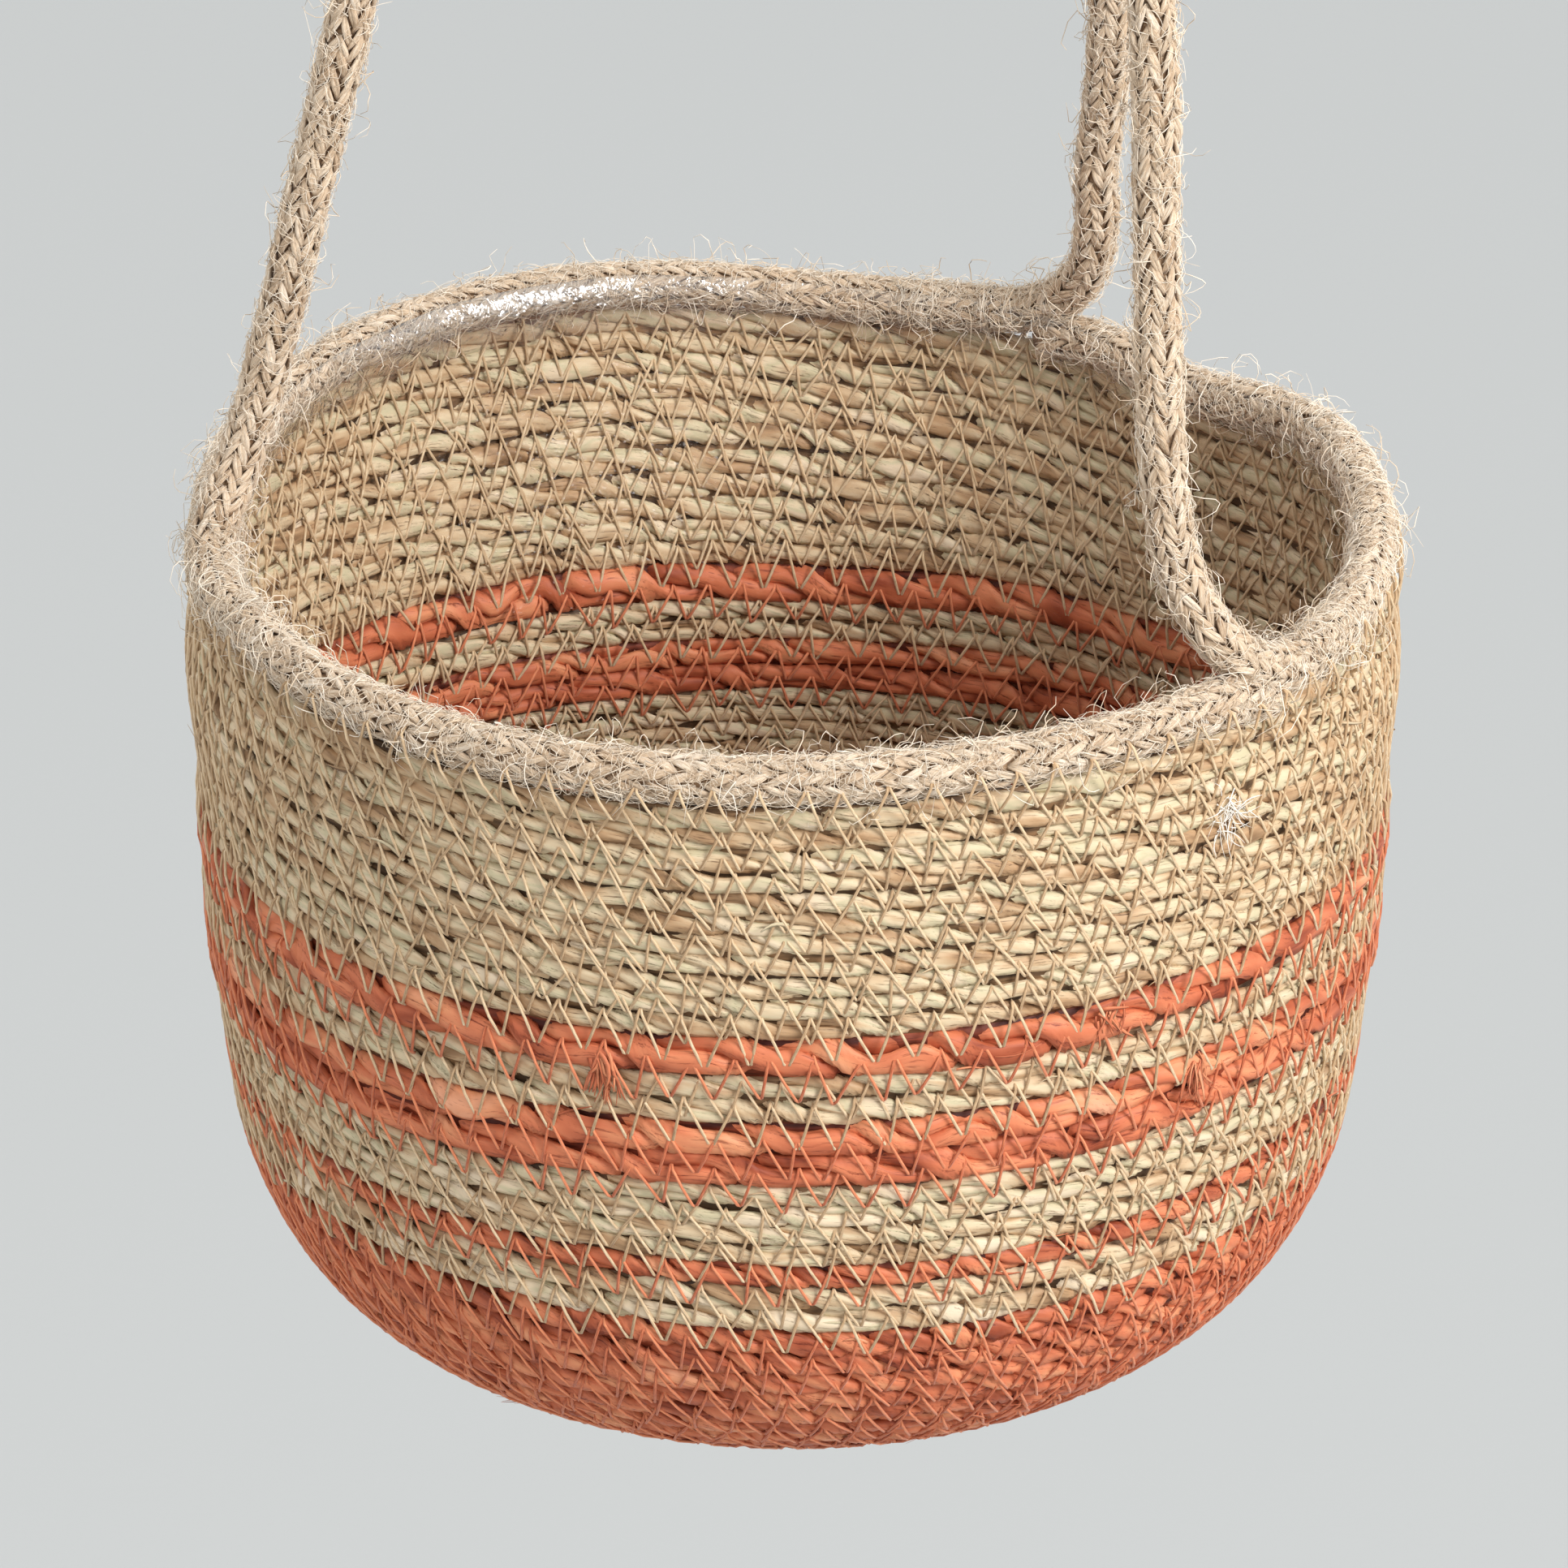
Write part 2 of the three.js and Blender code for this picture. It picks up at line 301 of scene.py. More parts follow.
def seagrassMaterial(name, stops, streakStops, look):
    # seagrass leaf twisted by hand: long pale and dark streaks, each leaf its own shade, a waxy gloss
    material, tree = newMaterial(name)
    grain = addNode(tree, "ShaderNodeAttribute", attribute_name="grain")
    tone = addNode(tree, "ShaderNodeAttribute", attribute_name="tone")
    leafPlace = addNode(tree, "ShaderNodeVectorMath",
                        {1: (1 / look["leafLength"], look["leafFineness"], look["leafFineness"])},
                        {0: grain.outputs["Vector"]}, operation="MULTIPLY")
    leaf = addNode(tree, "ShaderNodeTexNoise", {"Scale": 1, "Detail": 2, "Roughness": 0.6},
                   {"Vector": leafPlace.outputs[0]})
    shade = addNode(tree, "ShaderNodeMath", links={0: leaf.outputs["Fac"], 1: tone.outputs["Fac"]},
                    operation="ADD")
    shade = addNode(tree, "ShaderNodeMath", {1: 0.5}, {0: shade.outputs[0]}, operation="SUBTRACT")
    leafColour = addNode(tree, "ShaderNodeValToRGB", links={"Fac": shade.outputs[0]}, stops=stops)
    fibrePlace = addNode(tree, "ShaderNodeVectorMath",
                         {1: (1 / look["fibreLength"], look["fibreFineness"], look["fibreFineness"])},
                         {0: grain.outputs["Vector"]}, operation="MULTIPLY")
    fibre = addNode(tree, "ShaderNodeTexNoise", {"Scale": look["fibreScale"], "Detail": 4, "Roughness": 0.65},
                    {"Vector": fibrePlace.outputs[0]})
    streak = addNode(tree, "ShaderNodeValToRGB", links={"Fac": fibre.outputs["Fac"]}, stops=streakStops)
    mixed = addNode(tree, "ShaderNodeMix", {"Factor": 1.0},
                    {"A": leafColour.outputs[0], "B": streak.outputs[0]},
                    data_type="RGBA", blend_type="MULTIPLY")
    bump = addNode(tree, "ShaderNodeBump", {"Strength": look["bump"], "Distance": look["bumpDepth"]},
                   {"Height": fibre.outputs["Fac"]})
    skin = addNode(tree, "ShaderNodeBsdfPrincipled",
                   {"Roughness": look["roughness"], "IOR": look["ior"],
                    "Specular IOR Level": look["specular"]},
                   {"Base Color": mixed.outputs[2], "Normal": bump.outputs[0]})
    addNode(tree, "ShaderNodeOutputMaterial", links={"Surface": skin.outputs[0]})
    return material


# fineness is the streaks round a yarn, and loose fibres are too thin to show a bump
yarnLook = {"roughness": 0.9, "fineness": 2.6, "bump": 0.7}
looseFibreLook = {"roughness": 0.8, "fineness": 1.0, "bump": 0.0}
wispLook = {"roughness": 0.85, "fineness": 1.0, "bump": 0.0}
threadLook = {"roughness": 0.8, "fineness": 1.5, "bump": 0.2}
spunLook = {
    "streakLength": 2,       # mm, and drawn coarser than real fibres, so that it shows
    "streakScale": 1.5,
    "ior": 1.5,
    "specular": 0.25,
    "sheen": 0.15,
    "sheenRoughness": 0.5,
    "bumpDepth": 0.2 * mm,
}


def fibreMaterial(name, stops, look):
    # spun bast or cotton fibre: matte, with fine streaks along the yarn and a soft sheen at the edge
    material, tree = newMaterial(name)
    grain = addNode(tree, "ShaderNodeAttribute", attribute_name="grain")
    tone = addNode(tree, "ShaderNodeAttribute", attribute_name="tone")
    place = addNode(tree, "ShaderNodeVectorMath",
                    {1: (1 / spunLook["streakLength"], look["fineness"], look["fineness"])},
                    {0: grain.outputs["Vector"]}, operation="MULTIPLY")
    fibre = addNode(tree, "ShaderNodeTexNoise",
                    {"Scale": spunLook["streakScale"], "Detail": 3, "Roughness": 0.7},
                    {"Vector": place.outputs[0]})
    shade = addNode(tree, "ShaderNodeMath", links={0: fibre.outputs["Fac"], 1: tone.outputs["Fac"]},
                    operation="ADD")
    shade = addNode(tree, "ShaderNodeMath", {1: 0.5}, {0: shade.outputs[0]}, operation="SUBTRACT")
    yarn = addNode(tree, "ShaderNodeValToRGB", links={"Fac": shade.outputs[0]}, stops=stops)
    bump = addNode(tree, "ShaderNodeBump", {"Strength": look["bump"], "Distance": spunLook["bumpDepth"]},
                   {"Height": fibre.outputs["Fac"]})
    skin = addNode(tree, "ShaderNodeBsdfPrincipled",
                   {"Roughness": look["roughness"], "IOR": spunLook["ior"],
                    "Specular IOR Level": spunLook["specular"], "Sheen Weight": spunLook["sheen"],
                    "Sheen Roughness": spunLook["sheenRoughness"]},
                   {"Base Color": yarn.outputs[0], "Normal": bump.outputs[0]})
    addNode(tree, "ShaderNodeOutputMaterial", links={"Surface": skin.outputs[0]})
    return material


# undyed seagrass dries to straw, with browner and grey-green leaves among the pale ones; its darkest colours
# go mostly to the wall's heart, as painted shade between the strands
naturalSeagrass = seagrassMaterial(
    "twistedSeagrassUndyed",
    [(0.0, "#463322"), (0.2, "#8b6b4c"), (0.32, "#b6926d"), (0.43, "#ccb08c"), (0.52, "#d9c4a2"),
     (0.6, "#c6ba97"), (0.7, "#dec8a9"), (0.88, "#e2cfb3")],
    [(0.27, "#6f5338"), (0.45, "#ffffff"), (0.7, "#ffffff")], seagrassLook)
# the dye soaks in unevenly, so that some leaves stay pale; the darkest colours go mostly to the wall's heart,
# as painted shade between the strands
dyedSeagrass = seagrassMaterial(
    "twistedSeagrassDyedTerracotta",
    [(0.0, "#47190e"), (0.24, "#94452b"), (0.4, "#c26a48"), (0.55, "#d57e58"), (0.7, "#e0946a"),
     (0.9, "#e9a682")],
    [(0.26, "#7a3522"), (0.45, "#ffffff"), (0.7, "#ffffff")], seagrassLook)
# raw jute spun and plaited: dull and pale; the brown where the yarns go under is painted shade
juteYarn = fibreMaterial(
    "juteYarnPale",
    [(0.0, "#4f3a2a"), (0.22, "#8c6e52"), (0.42, "#c9ae90"), (0.58, "#dfcab0"), (0.8, "#f5eadb")],
    yarnLook)
# single hairs that catch the light, paler than the yarn
juteFibre = fibreMaterial("juteFibreLoose", [(0.3, "#d8c0a2"), (0.7, "#f8ecda")], looseFibreLook)
cottonWisp = fibreMaterial("cottonWispWhite", [(0.3, "#e9e0d3"), (0.7, "#fbf8f2")], wispLook)
# spun cotton sewing thread: thin, dull and a little darker in its twist
naturalThread = fibreMaterial(
    "cottonThreadNatural", [(0.2, "#967656"), (0.45, "#c8a983"), (0.75, "#f0dcba")], threadLook)
orangeThread = fibreMaterial("cottonThreadOrange", [(0.2, "#a34b2d"), (0.7, "#ec976c")], threadLook)
print("materials made")


# basket wall

wallShape = {
    "topRadius": 96.8 * mm,
    "bellyRadius": 96.4 * mm,
    "shoulderRadius": 90.4 * mm,
    "footRadius": 46 * mm,
    "depth": 140.8 * mm,
    "baseThickness": 4.4 * mm,
    "bellyShare": 0.427,
    "shoulderShare": 0.702,
    "shoulderPull": 0.47,
    "footPull": 0.54,
    "underRim": 0.3 * mm,     # from the rim cord's underside to the first row
    "curvePoints": 160,
    "fadeDepth": 95 * mm,     # how far down the rim's departures fade out
    "fadePower": 1.5,
}

# how the handmade rim departs from a true circle: where, how wide (degrees), outwards and upwards
rimDepartures = [
    {"at": 124, "width": 34, "out": 3.0 * mm, "up": 2.8 * mm},
    {"at": 181, "width": 24, "out": -3.3 * mm, "up": 0.0 * mm},
    {"at": 44, "width": 15, "out": -4.5 * mm, "up": -4.0 * mm},
    {"at": 1, "width": 24, "out": -2.6 * mm, "up": 0.0 * mm},
    {"at": 82, "width": 18, "out": -0.4 * mm, "up": -1.9 * mm},
    {"at": 245, "width": 26, "out": 0.6 * mm, "up": -0.9 * mm},
]

# how the soft wall sags and leans below the rim, with the depth of each place and how tall it is
wallDepartures = [
    {"at": 92, "width": 64, "depth": 47 * mm, "tall": 27 * mm, "out": -6.0 * mm, "up": -4.2 * mm},
    {"at": 222, "width": 26, "depth": 68 * mm, "tall": 24 * mm, "out": 0.0 * mm, "up": -2.6 * mm},
    {"at": 292, "width": 30, "depth": 90 * mm, "tall": 30 * mm, "out": 0.0 * mm, "up": -1.4 * mm},
    {"at": 181, "width": 42, "depth": 48 * mm, "tall": 50 * mm, "out": 1.7 * mm, "up": 0.0 * mm},
    {"at": 1, "width": 42, "depth": 50 * mm, "tall": 50 * mm, "out": 1.7 * mm, "up": 0.0 * mm},
    {"at": 181, "width": 30, "depth": 20 * mm, "tall": 14 * mm, "out": 2.1 * mm, "up": 0.0 * mm},
    {"at": 1, "width": 30, "depth": 20 * mm, "tall": 14 * mm, "out": 1.8 * mm, "up": 0.0 * mm},
    {"at": 208, "width": 48, "depth": 127 * mm, "tall": 15 * mm, "out": 1.6 * mm, "up": 0.0 * mm},
    {"at": 336, "width": 40, "depth": 127 * mm, "tall": 15 * mm, "out": 1.0 * mm, "up": 0.0 * mm},
]


def wallProfile(shape):
    topDepth = cordRadius + shape["underRim"]
    baseDepth = shape["depth"] - shape["baseThickness"] / 2
    top = np.array([shape["topRadius"], -topDepth])
    belly = np.array([shape["bellyRadius"], -shape["depth"] * shape["bellyShare"]])
    shoulder = np.array([shape["shoulderRadius"], -shape["depth"] * shape["shoulderShare"]])
    foot = np.array([shape["footRadius"], -baseDepth])
    pull = (shoulder - belly) / np.linalg.norm(shoulder - belly)
    shoulderPull = shoulder + pull * (baseDepth + shoulder[1]) * shape["shoulderPull"]
    footPull = foot + np.array([(shoulder[0] - foot[0]) * shape["footPull"], 0])
    t = np.linspace(0, 1, shape["curvePoints"])[:, None]
    wall = (1 - t) ** 2 * top + 2 * t * (1 - t) * belly + t ** 2 * shoulder
    corner = ((1 - t) ** 3 * shoulder + 3 * t * (1 - t) ** 2 * shoulderPull
              + 3 * t ** 2 * (1 - t) * footPull + t ** 3 * foot)
    floor = foot + (np.array([0, -baseDepth]) - foot) * t
    above = top + np.array([0, 2 * topDepth]) * (1 - t)
    line = np.vstack([above[:-1], wall[:-1], corner[:-1], floor])
    run = lengthsAlong(line) - 2 * topDepth
    return {"run": run, "line": line, "along": unit(np.gradient(line, axis=0))}


profile = wallProfile(wallShape)


def departures(angle, height):
    fade = np.clip(1 + height / wallShape["fadeDepth"], 0, 1) ** wallShape["fadePower"]
    out = np.zeros_like(angle)
    up = np.zeros_like(angle)
    for place in rimDepartures + wallDepartures:
        weight = np.exp(-(awayFrom(angle, place["at"]) / math.radians(place["width"])) ** 2)
        if "depth" in place:
            weight = weight * np.exp(-((height + place["depth"]) / place["tall"]) ** 2)
        else:
            weight = weight * fade
        out = out + place["out"] * weight
        up = up + place["up"] * weight
    return out, up


def onWall(angle, run, out):
    # a place by its angle round the basket, its run down the wall and how far it stands out
    angle, run, out = np.broadcast_arrays(angle, run, out)
    radius = np.interp(run, profile["run"], profile["line"][:, 0])
    height = np.interp(run, profile["run"], profile["line"][:, 1])
    alongRadius = np.interp(run, profile["run"], profile["along"][:, 0])
    alongHeight = np.interp(run, profile["run"], profile["along"][:, 1])
    radius = radius - alongHeight * out
    height = height + alongRadius * out
    moreOut, moreUp = departures(angle, height)
    radius = radius + moreOut
    height = height + moreUp
    return np.stack([radius * np.cos(angle), radius * np.sin(angle), rimHeight + height], axis=-1)


def wallRadius(run):
    return float(np.interp(run, profile["run"], profile["line"][:, 0]))


bands = [
    {"node": "upper_natural_rows", "rows": 11, "pitch": 3.7 * mm, "dyed": False},
    {"node": "upper_terracotta_row", "rows": 1, "pitch": 6.8 * mm, "dyed": True},
    {"node": "narrow_natural_rows", "rows": 2, "pitch": 4.1 * mm, "dyed": False},
    {"node": "double_terracotta_rows", "rows": 2, "pitch": 5.9 * mm, "dyed": True},
    {"node": "middle_natural_rows", "rows": 4, "pitch": 3.7 * mm, "dyed": False},
    {"node": "lower_terracotta_row", "rows": 1, "pitch": 4.2 * mm, "dyed": True},
    {"node": "lower_natural_rows", "rows": 2, "pitch": 4.4 * mm, "dyed": False},
]
baseCoil = {"pitch": 5 * mm, "opening": 0.8 * mm, "hub": 0.3 * mm}

natural = {
    "plies": 2,
    "lay": 24 * mm,            # one full turn of the plies
    "offsetShare": 0.25,       # of the row's pitch, from the row's centre to a ply's
    "thinShare": 0.3,
    "wideShare": 0.44,
}
dyedFine = {"plies": 2, "lay": 17 * mm, "offsetShare": 0.25, "thinShare": 0.3, "wideShare": 0.43}
dyedBold = {"plies": 2, "lay": 33 * mm, "offsetShare": 0.24, "thinShare": 0.28, "wideShare": 0.42}
strand = {
    "seed": 40,
    "step": 1.25 * mm,
    "sides": 9,
    "layJitter": 0.9,          # radians
    "thicknessShare": 0.56,    # half a row's thickness, of its pitch
    "looseness": 1.12,         # how much thicker than that a row may swell
    "thickestRow": 5.2 * mm,
    "longWave": 70 * mm,       # between these lengths a strand's thickness and lay come and go
    "shortWave": 16 * mm,
    "drift": 0.3 * mm,         # of a whole row, up and down the wall
    "unevenness": 0.17,
    "leafTurn": 0.85,          # of the ply's own turn, taken back by the leaves
    "leafFold": 0.08,
    "folds": ((3, 1.0, 0), (5, 0.6, 1)),   # folds round a ply, their share and where they start
    "shadeSpread": 0.07,
    "grainReach": 4000,        # mm of grain, from which each strand takes its own stretch
}
# the heart's low tone is painted shade: it colours the wall's middle dark where it shows between the strands
heart = {"rings": 120, "step": 2 * mm, "halfThick": 0.5 * mm, "tone": 0.08}


def describeRow(node, start, pitch, dyed):
    twist = natural
    if dyed:
        twist = dyedBold if pitch > strand["thickestRow"] else dyedFine
    half = strand["looseness"] * strand["thicknessShare"] * min(pitch, strand["thickestRow"])
    crest = half * math.tanh((twist["offsetShare"] + twist["thinShare"]) * pitch / half)
    return {"node": node, "start": start, "centre": start + pitch / 2, "end": start + pitch, "pitch": pitch,
            "dyed": dyed, "twist": twist, "half": half, "crest": crest}


def listRows():
    rows = []
    start = 0.0
    for band in bands:
        for _ in range(band["rows"]):
            rows.append(describeRow(band["node"], start, band["pitch"], band["dyed"]))
            start += band["pitch"]
    left = profile["run"][-1] - start - baseCoil["opening"]
    count = round(left / baseCoil["pitch"])
    for i in range(count):
        rows.append(describeRow("terracotta_base", start + i * left / count, left / count, True))
    return rows


rows = listRows()


def rowStrands(row, rng):
    twist = row["twist"]
    radius = wallRadius(row["centre"])
    rings = max(16, round(2 * np.pi * radius / strand["step"]))
    angle = np.arange(rings) * 2 * np.pi / rings
    turns = max(1, round(2 * np.pi * radius / twist["lay"]))
    longest = max(3, round(2 * np.pi * radius / strand["longWave"]))
    shortest = max(5, round(2 * np.pi * radius / strand["shortWave"]))
    phase = turns * angle + strand["layJitter"] * wobble(rng, angle, longest, shortest)
    phase = phase + rng.uniform(0, anyTurn)
    drift = strand["drift"] * wobble(rng, angle, 2, longest)
    around = (np.arange(strand["sides"]) * 2 * np.pi / strand["sides"])[None, :]
    parts = []
    for ply in range(twist["plies"]):
        turned = (phase + ply * 2 * np.pi / twist["plies"])[:, None]
        thick = 1 + strand["unevenness"] * wobble(rng, angle, longest, shortest)
        wide = 1 + strand["unevenness"] * wobble(rng, angle, longest, shortest)
        # the leaves run along the row, so their folds and streaks don't turn with the ply
        leaf = around + strand["leafTurn"] * turned + rng.uniform(0, anyTurn)
        folds = sum(share * np.cos(count * leaf + start) for count, share, start in strand["folds"])
        fold = 1 + strand["leafFold"] * folds
        thin = row["pitch"] * twist["thinShare"] * thick[:, None] * fold * np.cos(around)
        broad = row["pitch"] * twist["wideShare"] * wide[:, None] * fold * np.sin(around)
        offset = row["pitch"] * twist["offsetShare"]
        out = (offset + thin) * np.cos(turned) - broad * np.sin(turned)
        down = (offset + thin) * np.sin(turned) + broad * np.cos(turned)
        out = row["half"] * np.tanh(out / row["half"])
        verts = onWall(angle[:, None], row["centre"] + drift[:, None] + down, out)
        run = angle[:, None] * radius / mm + rng.uniform(0, strand["grainReach"])
        shape = verts.shape[:2]
        grain = np.stack([np.broadcast_to(run, shape), np.cos(leaf), np.sin(leaf)], axis=-1)
        shade = 0.5 + strand["shadeSpread"] * (rng.standard_normal() + wobble(rng, angle, longest, shortest))
        parts.append({"verts": verts.reshape(-1, 3), "faces": tubeFaces(1, rings, strand["sides"], True),
                      "grain": grain.reshape(-1, 3), "tone": np.repeat(shade, strand["sides"])})
    return joined(parts)


def wallHeartInPaintedShade(first, last):
    # the imported middle of the wall, which closes the gaps between the strands; its low tone paints it dark,
    # as painted shade in the gaps
    angle = (np.arange(heart["rings"]) * 2 * np.pi / heart["rings"])[:, None]
    downs = np.linspace(first, last, max(2, round((last - first) / heart["step"]) + 1))
    run = np.concatenate([downs, downs[::-1]])[None, :]
    out = np.repeat([heart["halfThick"], -heart["halfThick"]], len(downs))[None, :]
    verts = onWall(angle, run, out)
    shape = verts.shape[:2]
    grain = np.stack([
        np.broadcast_to(angle * rimRadius / mm, shape),
        np.broadcast_to(run / mm, shape),
        np.zeros(shape),
    ], axis=-1)
    return {"verts": verts.reshape(-1, 3), "faces": tubeFaces(1, heart["rings"], shape[1], True),
            "grain": grain.reshape(-1, 3), "tone": np.full(shape[0] * shape[1], heart["tone"])}


def makeBands():
    for number, node in enumerate([band["node"] for band in bands] + ["terracotta_base"]):
        rng = np.random.default_rng(strand["seed"] + number)
        mine = [row for row in rows if row["node"] == node]
        parts = [rowStrands(row, rng) for row in mine]
        last = mine[-1]["end"]
        if node == "terracotta_base":
            last = profile["run"][-1] - baseCoil["hub"]
        parts.append(wallHeartInPaintedShade(mine[0]["start"], last))
        material = dyedSeagrass if mine[0]["dyed"] else naturalSeagrass
        piece = makePiece(node + "_twisted", joined(parts), material, "planter")
        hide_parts(node)
    print("seagrass rows coiled:", len(rows))


makeBands()


# zigzag sewing

sewing = {
    "seeds": {1: 7, -1: 8},     # outside and inside
    "period": 6.5 * mm,
    "height": 8.2 * mm,
    "rowsShare": 0.92,          # of the two rows that a seam joins
    "rimSeamRun": -0.6 * mm,    # the seam that sews the rim cord to the first row
    "rimSeamHeight": 7.6 * mm,
    "overRim": 3.6 * mm,        # how far the thread stands out on the rim cord
    "threadRadius": 0.26 * mm,
    "sides": 5,
    "leanShare": 0.62,          # of a period that a falling stitch takes
    "leanSpread": 0.09,         # from seam to seam
    "clearance": 0.08 * mm,
    "jitter": 0.08,
    "heightJitter": 0.4 * mm,
    "steps": (0, 0.025, 0.1, 0.5, 0.9, 0.975),
    "holeDepth": 0.6,
    "holeSharpness": 10,
    "tones": {1: (0.53, 0.36), -1: (0.54, 0.47)},   # of falling and rising stitches; the rising ones darker, as painted shade
    "smallestRadius": 8 * mm,   # no seams nearer to the middle of the bottom
    "hubMargin": 1 * mm,
}


def crestAt(run):
    # how far the rows stand out from the wall's middle
    out = np.full(np.shape(run), sewing["overRim"])
    for row in rows:
        out = np.where((run >= row["start"]) & (run < row["end"]), row["crest"], out)
    return np.where(run >= rows[-1]["end"], rows[-1]["crest"], out)


def seam(middle, height, rng, side):
    radius = wallRadius(middle)
    stitches = max(5, round(2 * np.pi * radius / sewing["period"]))
    each = 2 * np.pi / stitches
    top = (np.arange(stitches) + sewing["jitter"] * rng.standard_normal(stitches) + rng.uniform()) * each
    lean = sewing["leanShare"] + sewing["leanSpread"] * rng.uniform(-1, 1)
    bottom = top + (lean + sewing["jitter"] * rng.standard_normal(stitches)) * each
    topRun = middle - height / 2 + sewing["heightJitter"] * rng.standard_normal(stitches)
    bottomRun = middle + height / 2 + sewing["heightJitter"] * rng.standard_normal(stitches)
    t = np.array(sewing["steps"])[None, :]
    nextTop = np.roll(top, -1)
    nextTop[-1] += 2 * np.pi
    nextRun = np.roll(topRun, -1)[:, None]
    top, bottom, nextTop = top[:, None], bottom[:, None], nextTop[:, None]
    topRun, bottomRun = topRun[:, None], bottomRun[:, None]
    angle = np.stack([top + (bottom - top) * t, bottom + (nextTop - bottom) * t], axis=1)
    run = np.stack([topRun + (bottomRun - topRun) * t, bottomRun + (nextRun - bottomRun) * t], axis=1)
    run = np.minimum(run, profile["run"][-1] - sewing["hubMargin"])
    ends = np.abs(2 * t - 1) ** sewing["holeSharpness"]
    crest = crestAt(run)
    taut = np.maximum(crest, crest.mean(axis=2, keepdims=True))
    out = (taut + sewing["clearance"]) * (1 - sewing["holeDepth"] * ends)
    # painted shade: the rising stitches take the darker tone
    tone = np.broadcast_to(np.reshape(sewing["tones"][side], (1, 2, 1)), angle.shape)
    places = onWall(angle, run, out * side).reshape(1, -1, 3)
    ups = onWall(angle, run, (out + probe) * side).reshape(1, -1, 3) - places
    girth = np.full(places.shape[:2], sewing["threadRadius"])
    return tubes(places, unit(ups), girth, girth, sewing["sides"], tone.reshape(1, -1), closed=True)


def makeStitches():
    seams = [{"middle": sewing["rimSeamRun"], "height": sewing["rimSeamHeight"], "dyed": False}]
    for upper, lower in zip(rows, rows[1:]):
        height = min(sewing["height"], sewing["rowsShare"] * (upper["pitch"] + lower["pitch"]))
        seams.append({"middle": upper["end"], "height": height, "dyed": upper["dyed"]})
    seams = [place for place in seams if wallRadius(place["middle"]) > sewing["smallestRadius"]]
    for label, dyed, material in (("natural", False, naturalThread), ("orange", True, orangeThread)):
        for face, side in (("outside", 1), ("inside", -1)):
            rng = np.random.default_rng(sewing["seeds"][side])
            mine = [place for place in seams if place["dyed"] == dyed]
            if side < 0:
                mine = [place for place in mine if place["middle"] > 0]
            shape = joined([seam(place["middle"], place["height"], rng, side) for place in mine])
            piece = makePiece("zigzag_stitches_" + label + "_" + face, shape, material, "planter")
    print("zigzag seams sewn:", len(seams))


makeStitches()


# frayed leaf ends and splices

frays = {
    "seed": 50,
    "strays": 190,              # single leaf ends all over the wall
    "length": 5 * mm,
    "lift": 0.9 * mm,
    "thick": 0.07 * mm,
    "wide": 0.33 * mm,
    "lean": 0.12,               # radians off the row
    "leanSpread": 0.25,
    "offShare": 0.3,            # of the row's pitch, how far off its middle a stray starts
    "lengthRange": (0.4, 1.5),  # shares of the sizes above, for a stray
    "liftRange": (0.1, 1.2),
    "wideRange": (0.3, 1.4),
    "tuftLengthRange": (0.5, 1.1),
    "tuftLiftRange": (0.2, 2.0),
    "tuftWideRange": (0.5, 1.5),
    "scatterAround": 1.1 * mm,  # of a tuft's roots
    "scatterDown": 0.8 * mm,
    "rings": 6,
    "sides": 4,
    "curl": 0.12,
    "rootShare": 0.9,           # of the row's crest, where a leaf end leaves it
    "rootLift": 0.15,
    "liftPower": 1.4,
    "taper": 0.75,
    "toneSpread": 0.1,
    "grainReach": 3000,
}

# where one coil ends in a tuft: degrees round, run down the wall, way it points (0 along the row, 90 down)
splices = [
    {"of": "terracotta", "angle": -107.8, "run": 45 * mm, "heading": 85, "spread": 16, "count": 30,
     "length": 7.5 * mm},
    {"of": "terracotta", "angle": -59.5, "run": 42 * mm, "heading": 70, "spread": 30, "count": 16,
     "length": 5 * mm},
    {"of": "terracotta", "angle": -48.5, "run": 57 * mm, "heading": 100, "spread": 22, "count": 22,
     "length": 6.5 * mm},
    {"of": "terracotta", "angle": -81, "run": 160 * mm, "heading": 95, "spread": 35, "count": 9,
     "length": 4 * mm},
    {"of": "terracotta", "angle": -130, "run": 139 * mm, "heading": 200, "spread": 25, "count": 9,
     "length": 4.5 * mm},
    {"of": "cotton", "angle": -46, "run": 14 * mm, "heading": 90, "spread": 70, "count": 44,
     "length": 6 * mm, "scatter": 1.7 * mm, "wide": 0.1 * mm},
    {"of": "natural", "angle": 150, "run": 80 * mm, "heading": 95, "spread": 25, "count": 16,
     "length": 6 * mm},
]


def leafShreds(angle, run, heading, length, lift, wide, rng):
    each = np.broadcast_arrays(angle, run, heading, length, lift, wide)
    angle, run, heading, length, lift, wide = (value.reshape(-1, 1) for value in each)
    t = np.linspace(0, 1, frays["rings"])[None, :]
    curl = frays["curl"] * rng.standard_normal(angle.shape) * np.sin(np.pi * t)
    radius = np.interp(run, profile["run"], profile["line"][:, 0])
    about = angle + length * (t * np.cos(heading) - curl * np.sin(heading)) / radius
    down = run + length * (t * np.sin(heading) + curl * np.cos(heading))
    out = frays["rootShare"] * crestAt(down) + lift * (frays["rootLift"] + t ** frays["liftPower"])
    centres = onWall(about, down, out)
    ups = unit(onWall(about, down, out + probe) - centres)
    taper = (1 - frays["taper"] * t ** 2) * np.ones_like(angle)
    tone = 0.5 + frays["toneSpread"] * rng.standard_normal(angle.shape)
    return tubes(centres, ups, frays["thick"] * taper, wide * taper, frays["sides"], tone,
                 grainStart=rng.uniform(0, frays["grainReach"], len(angle)))


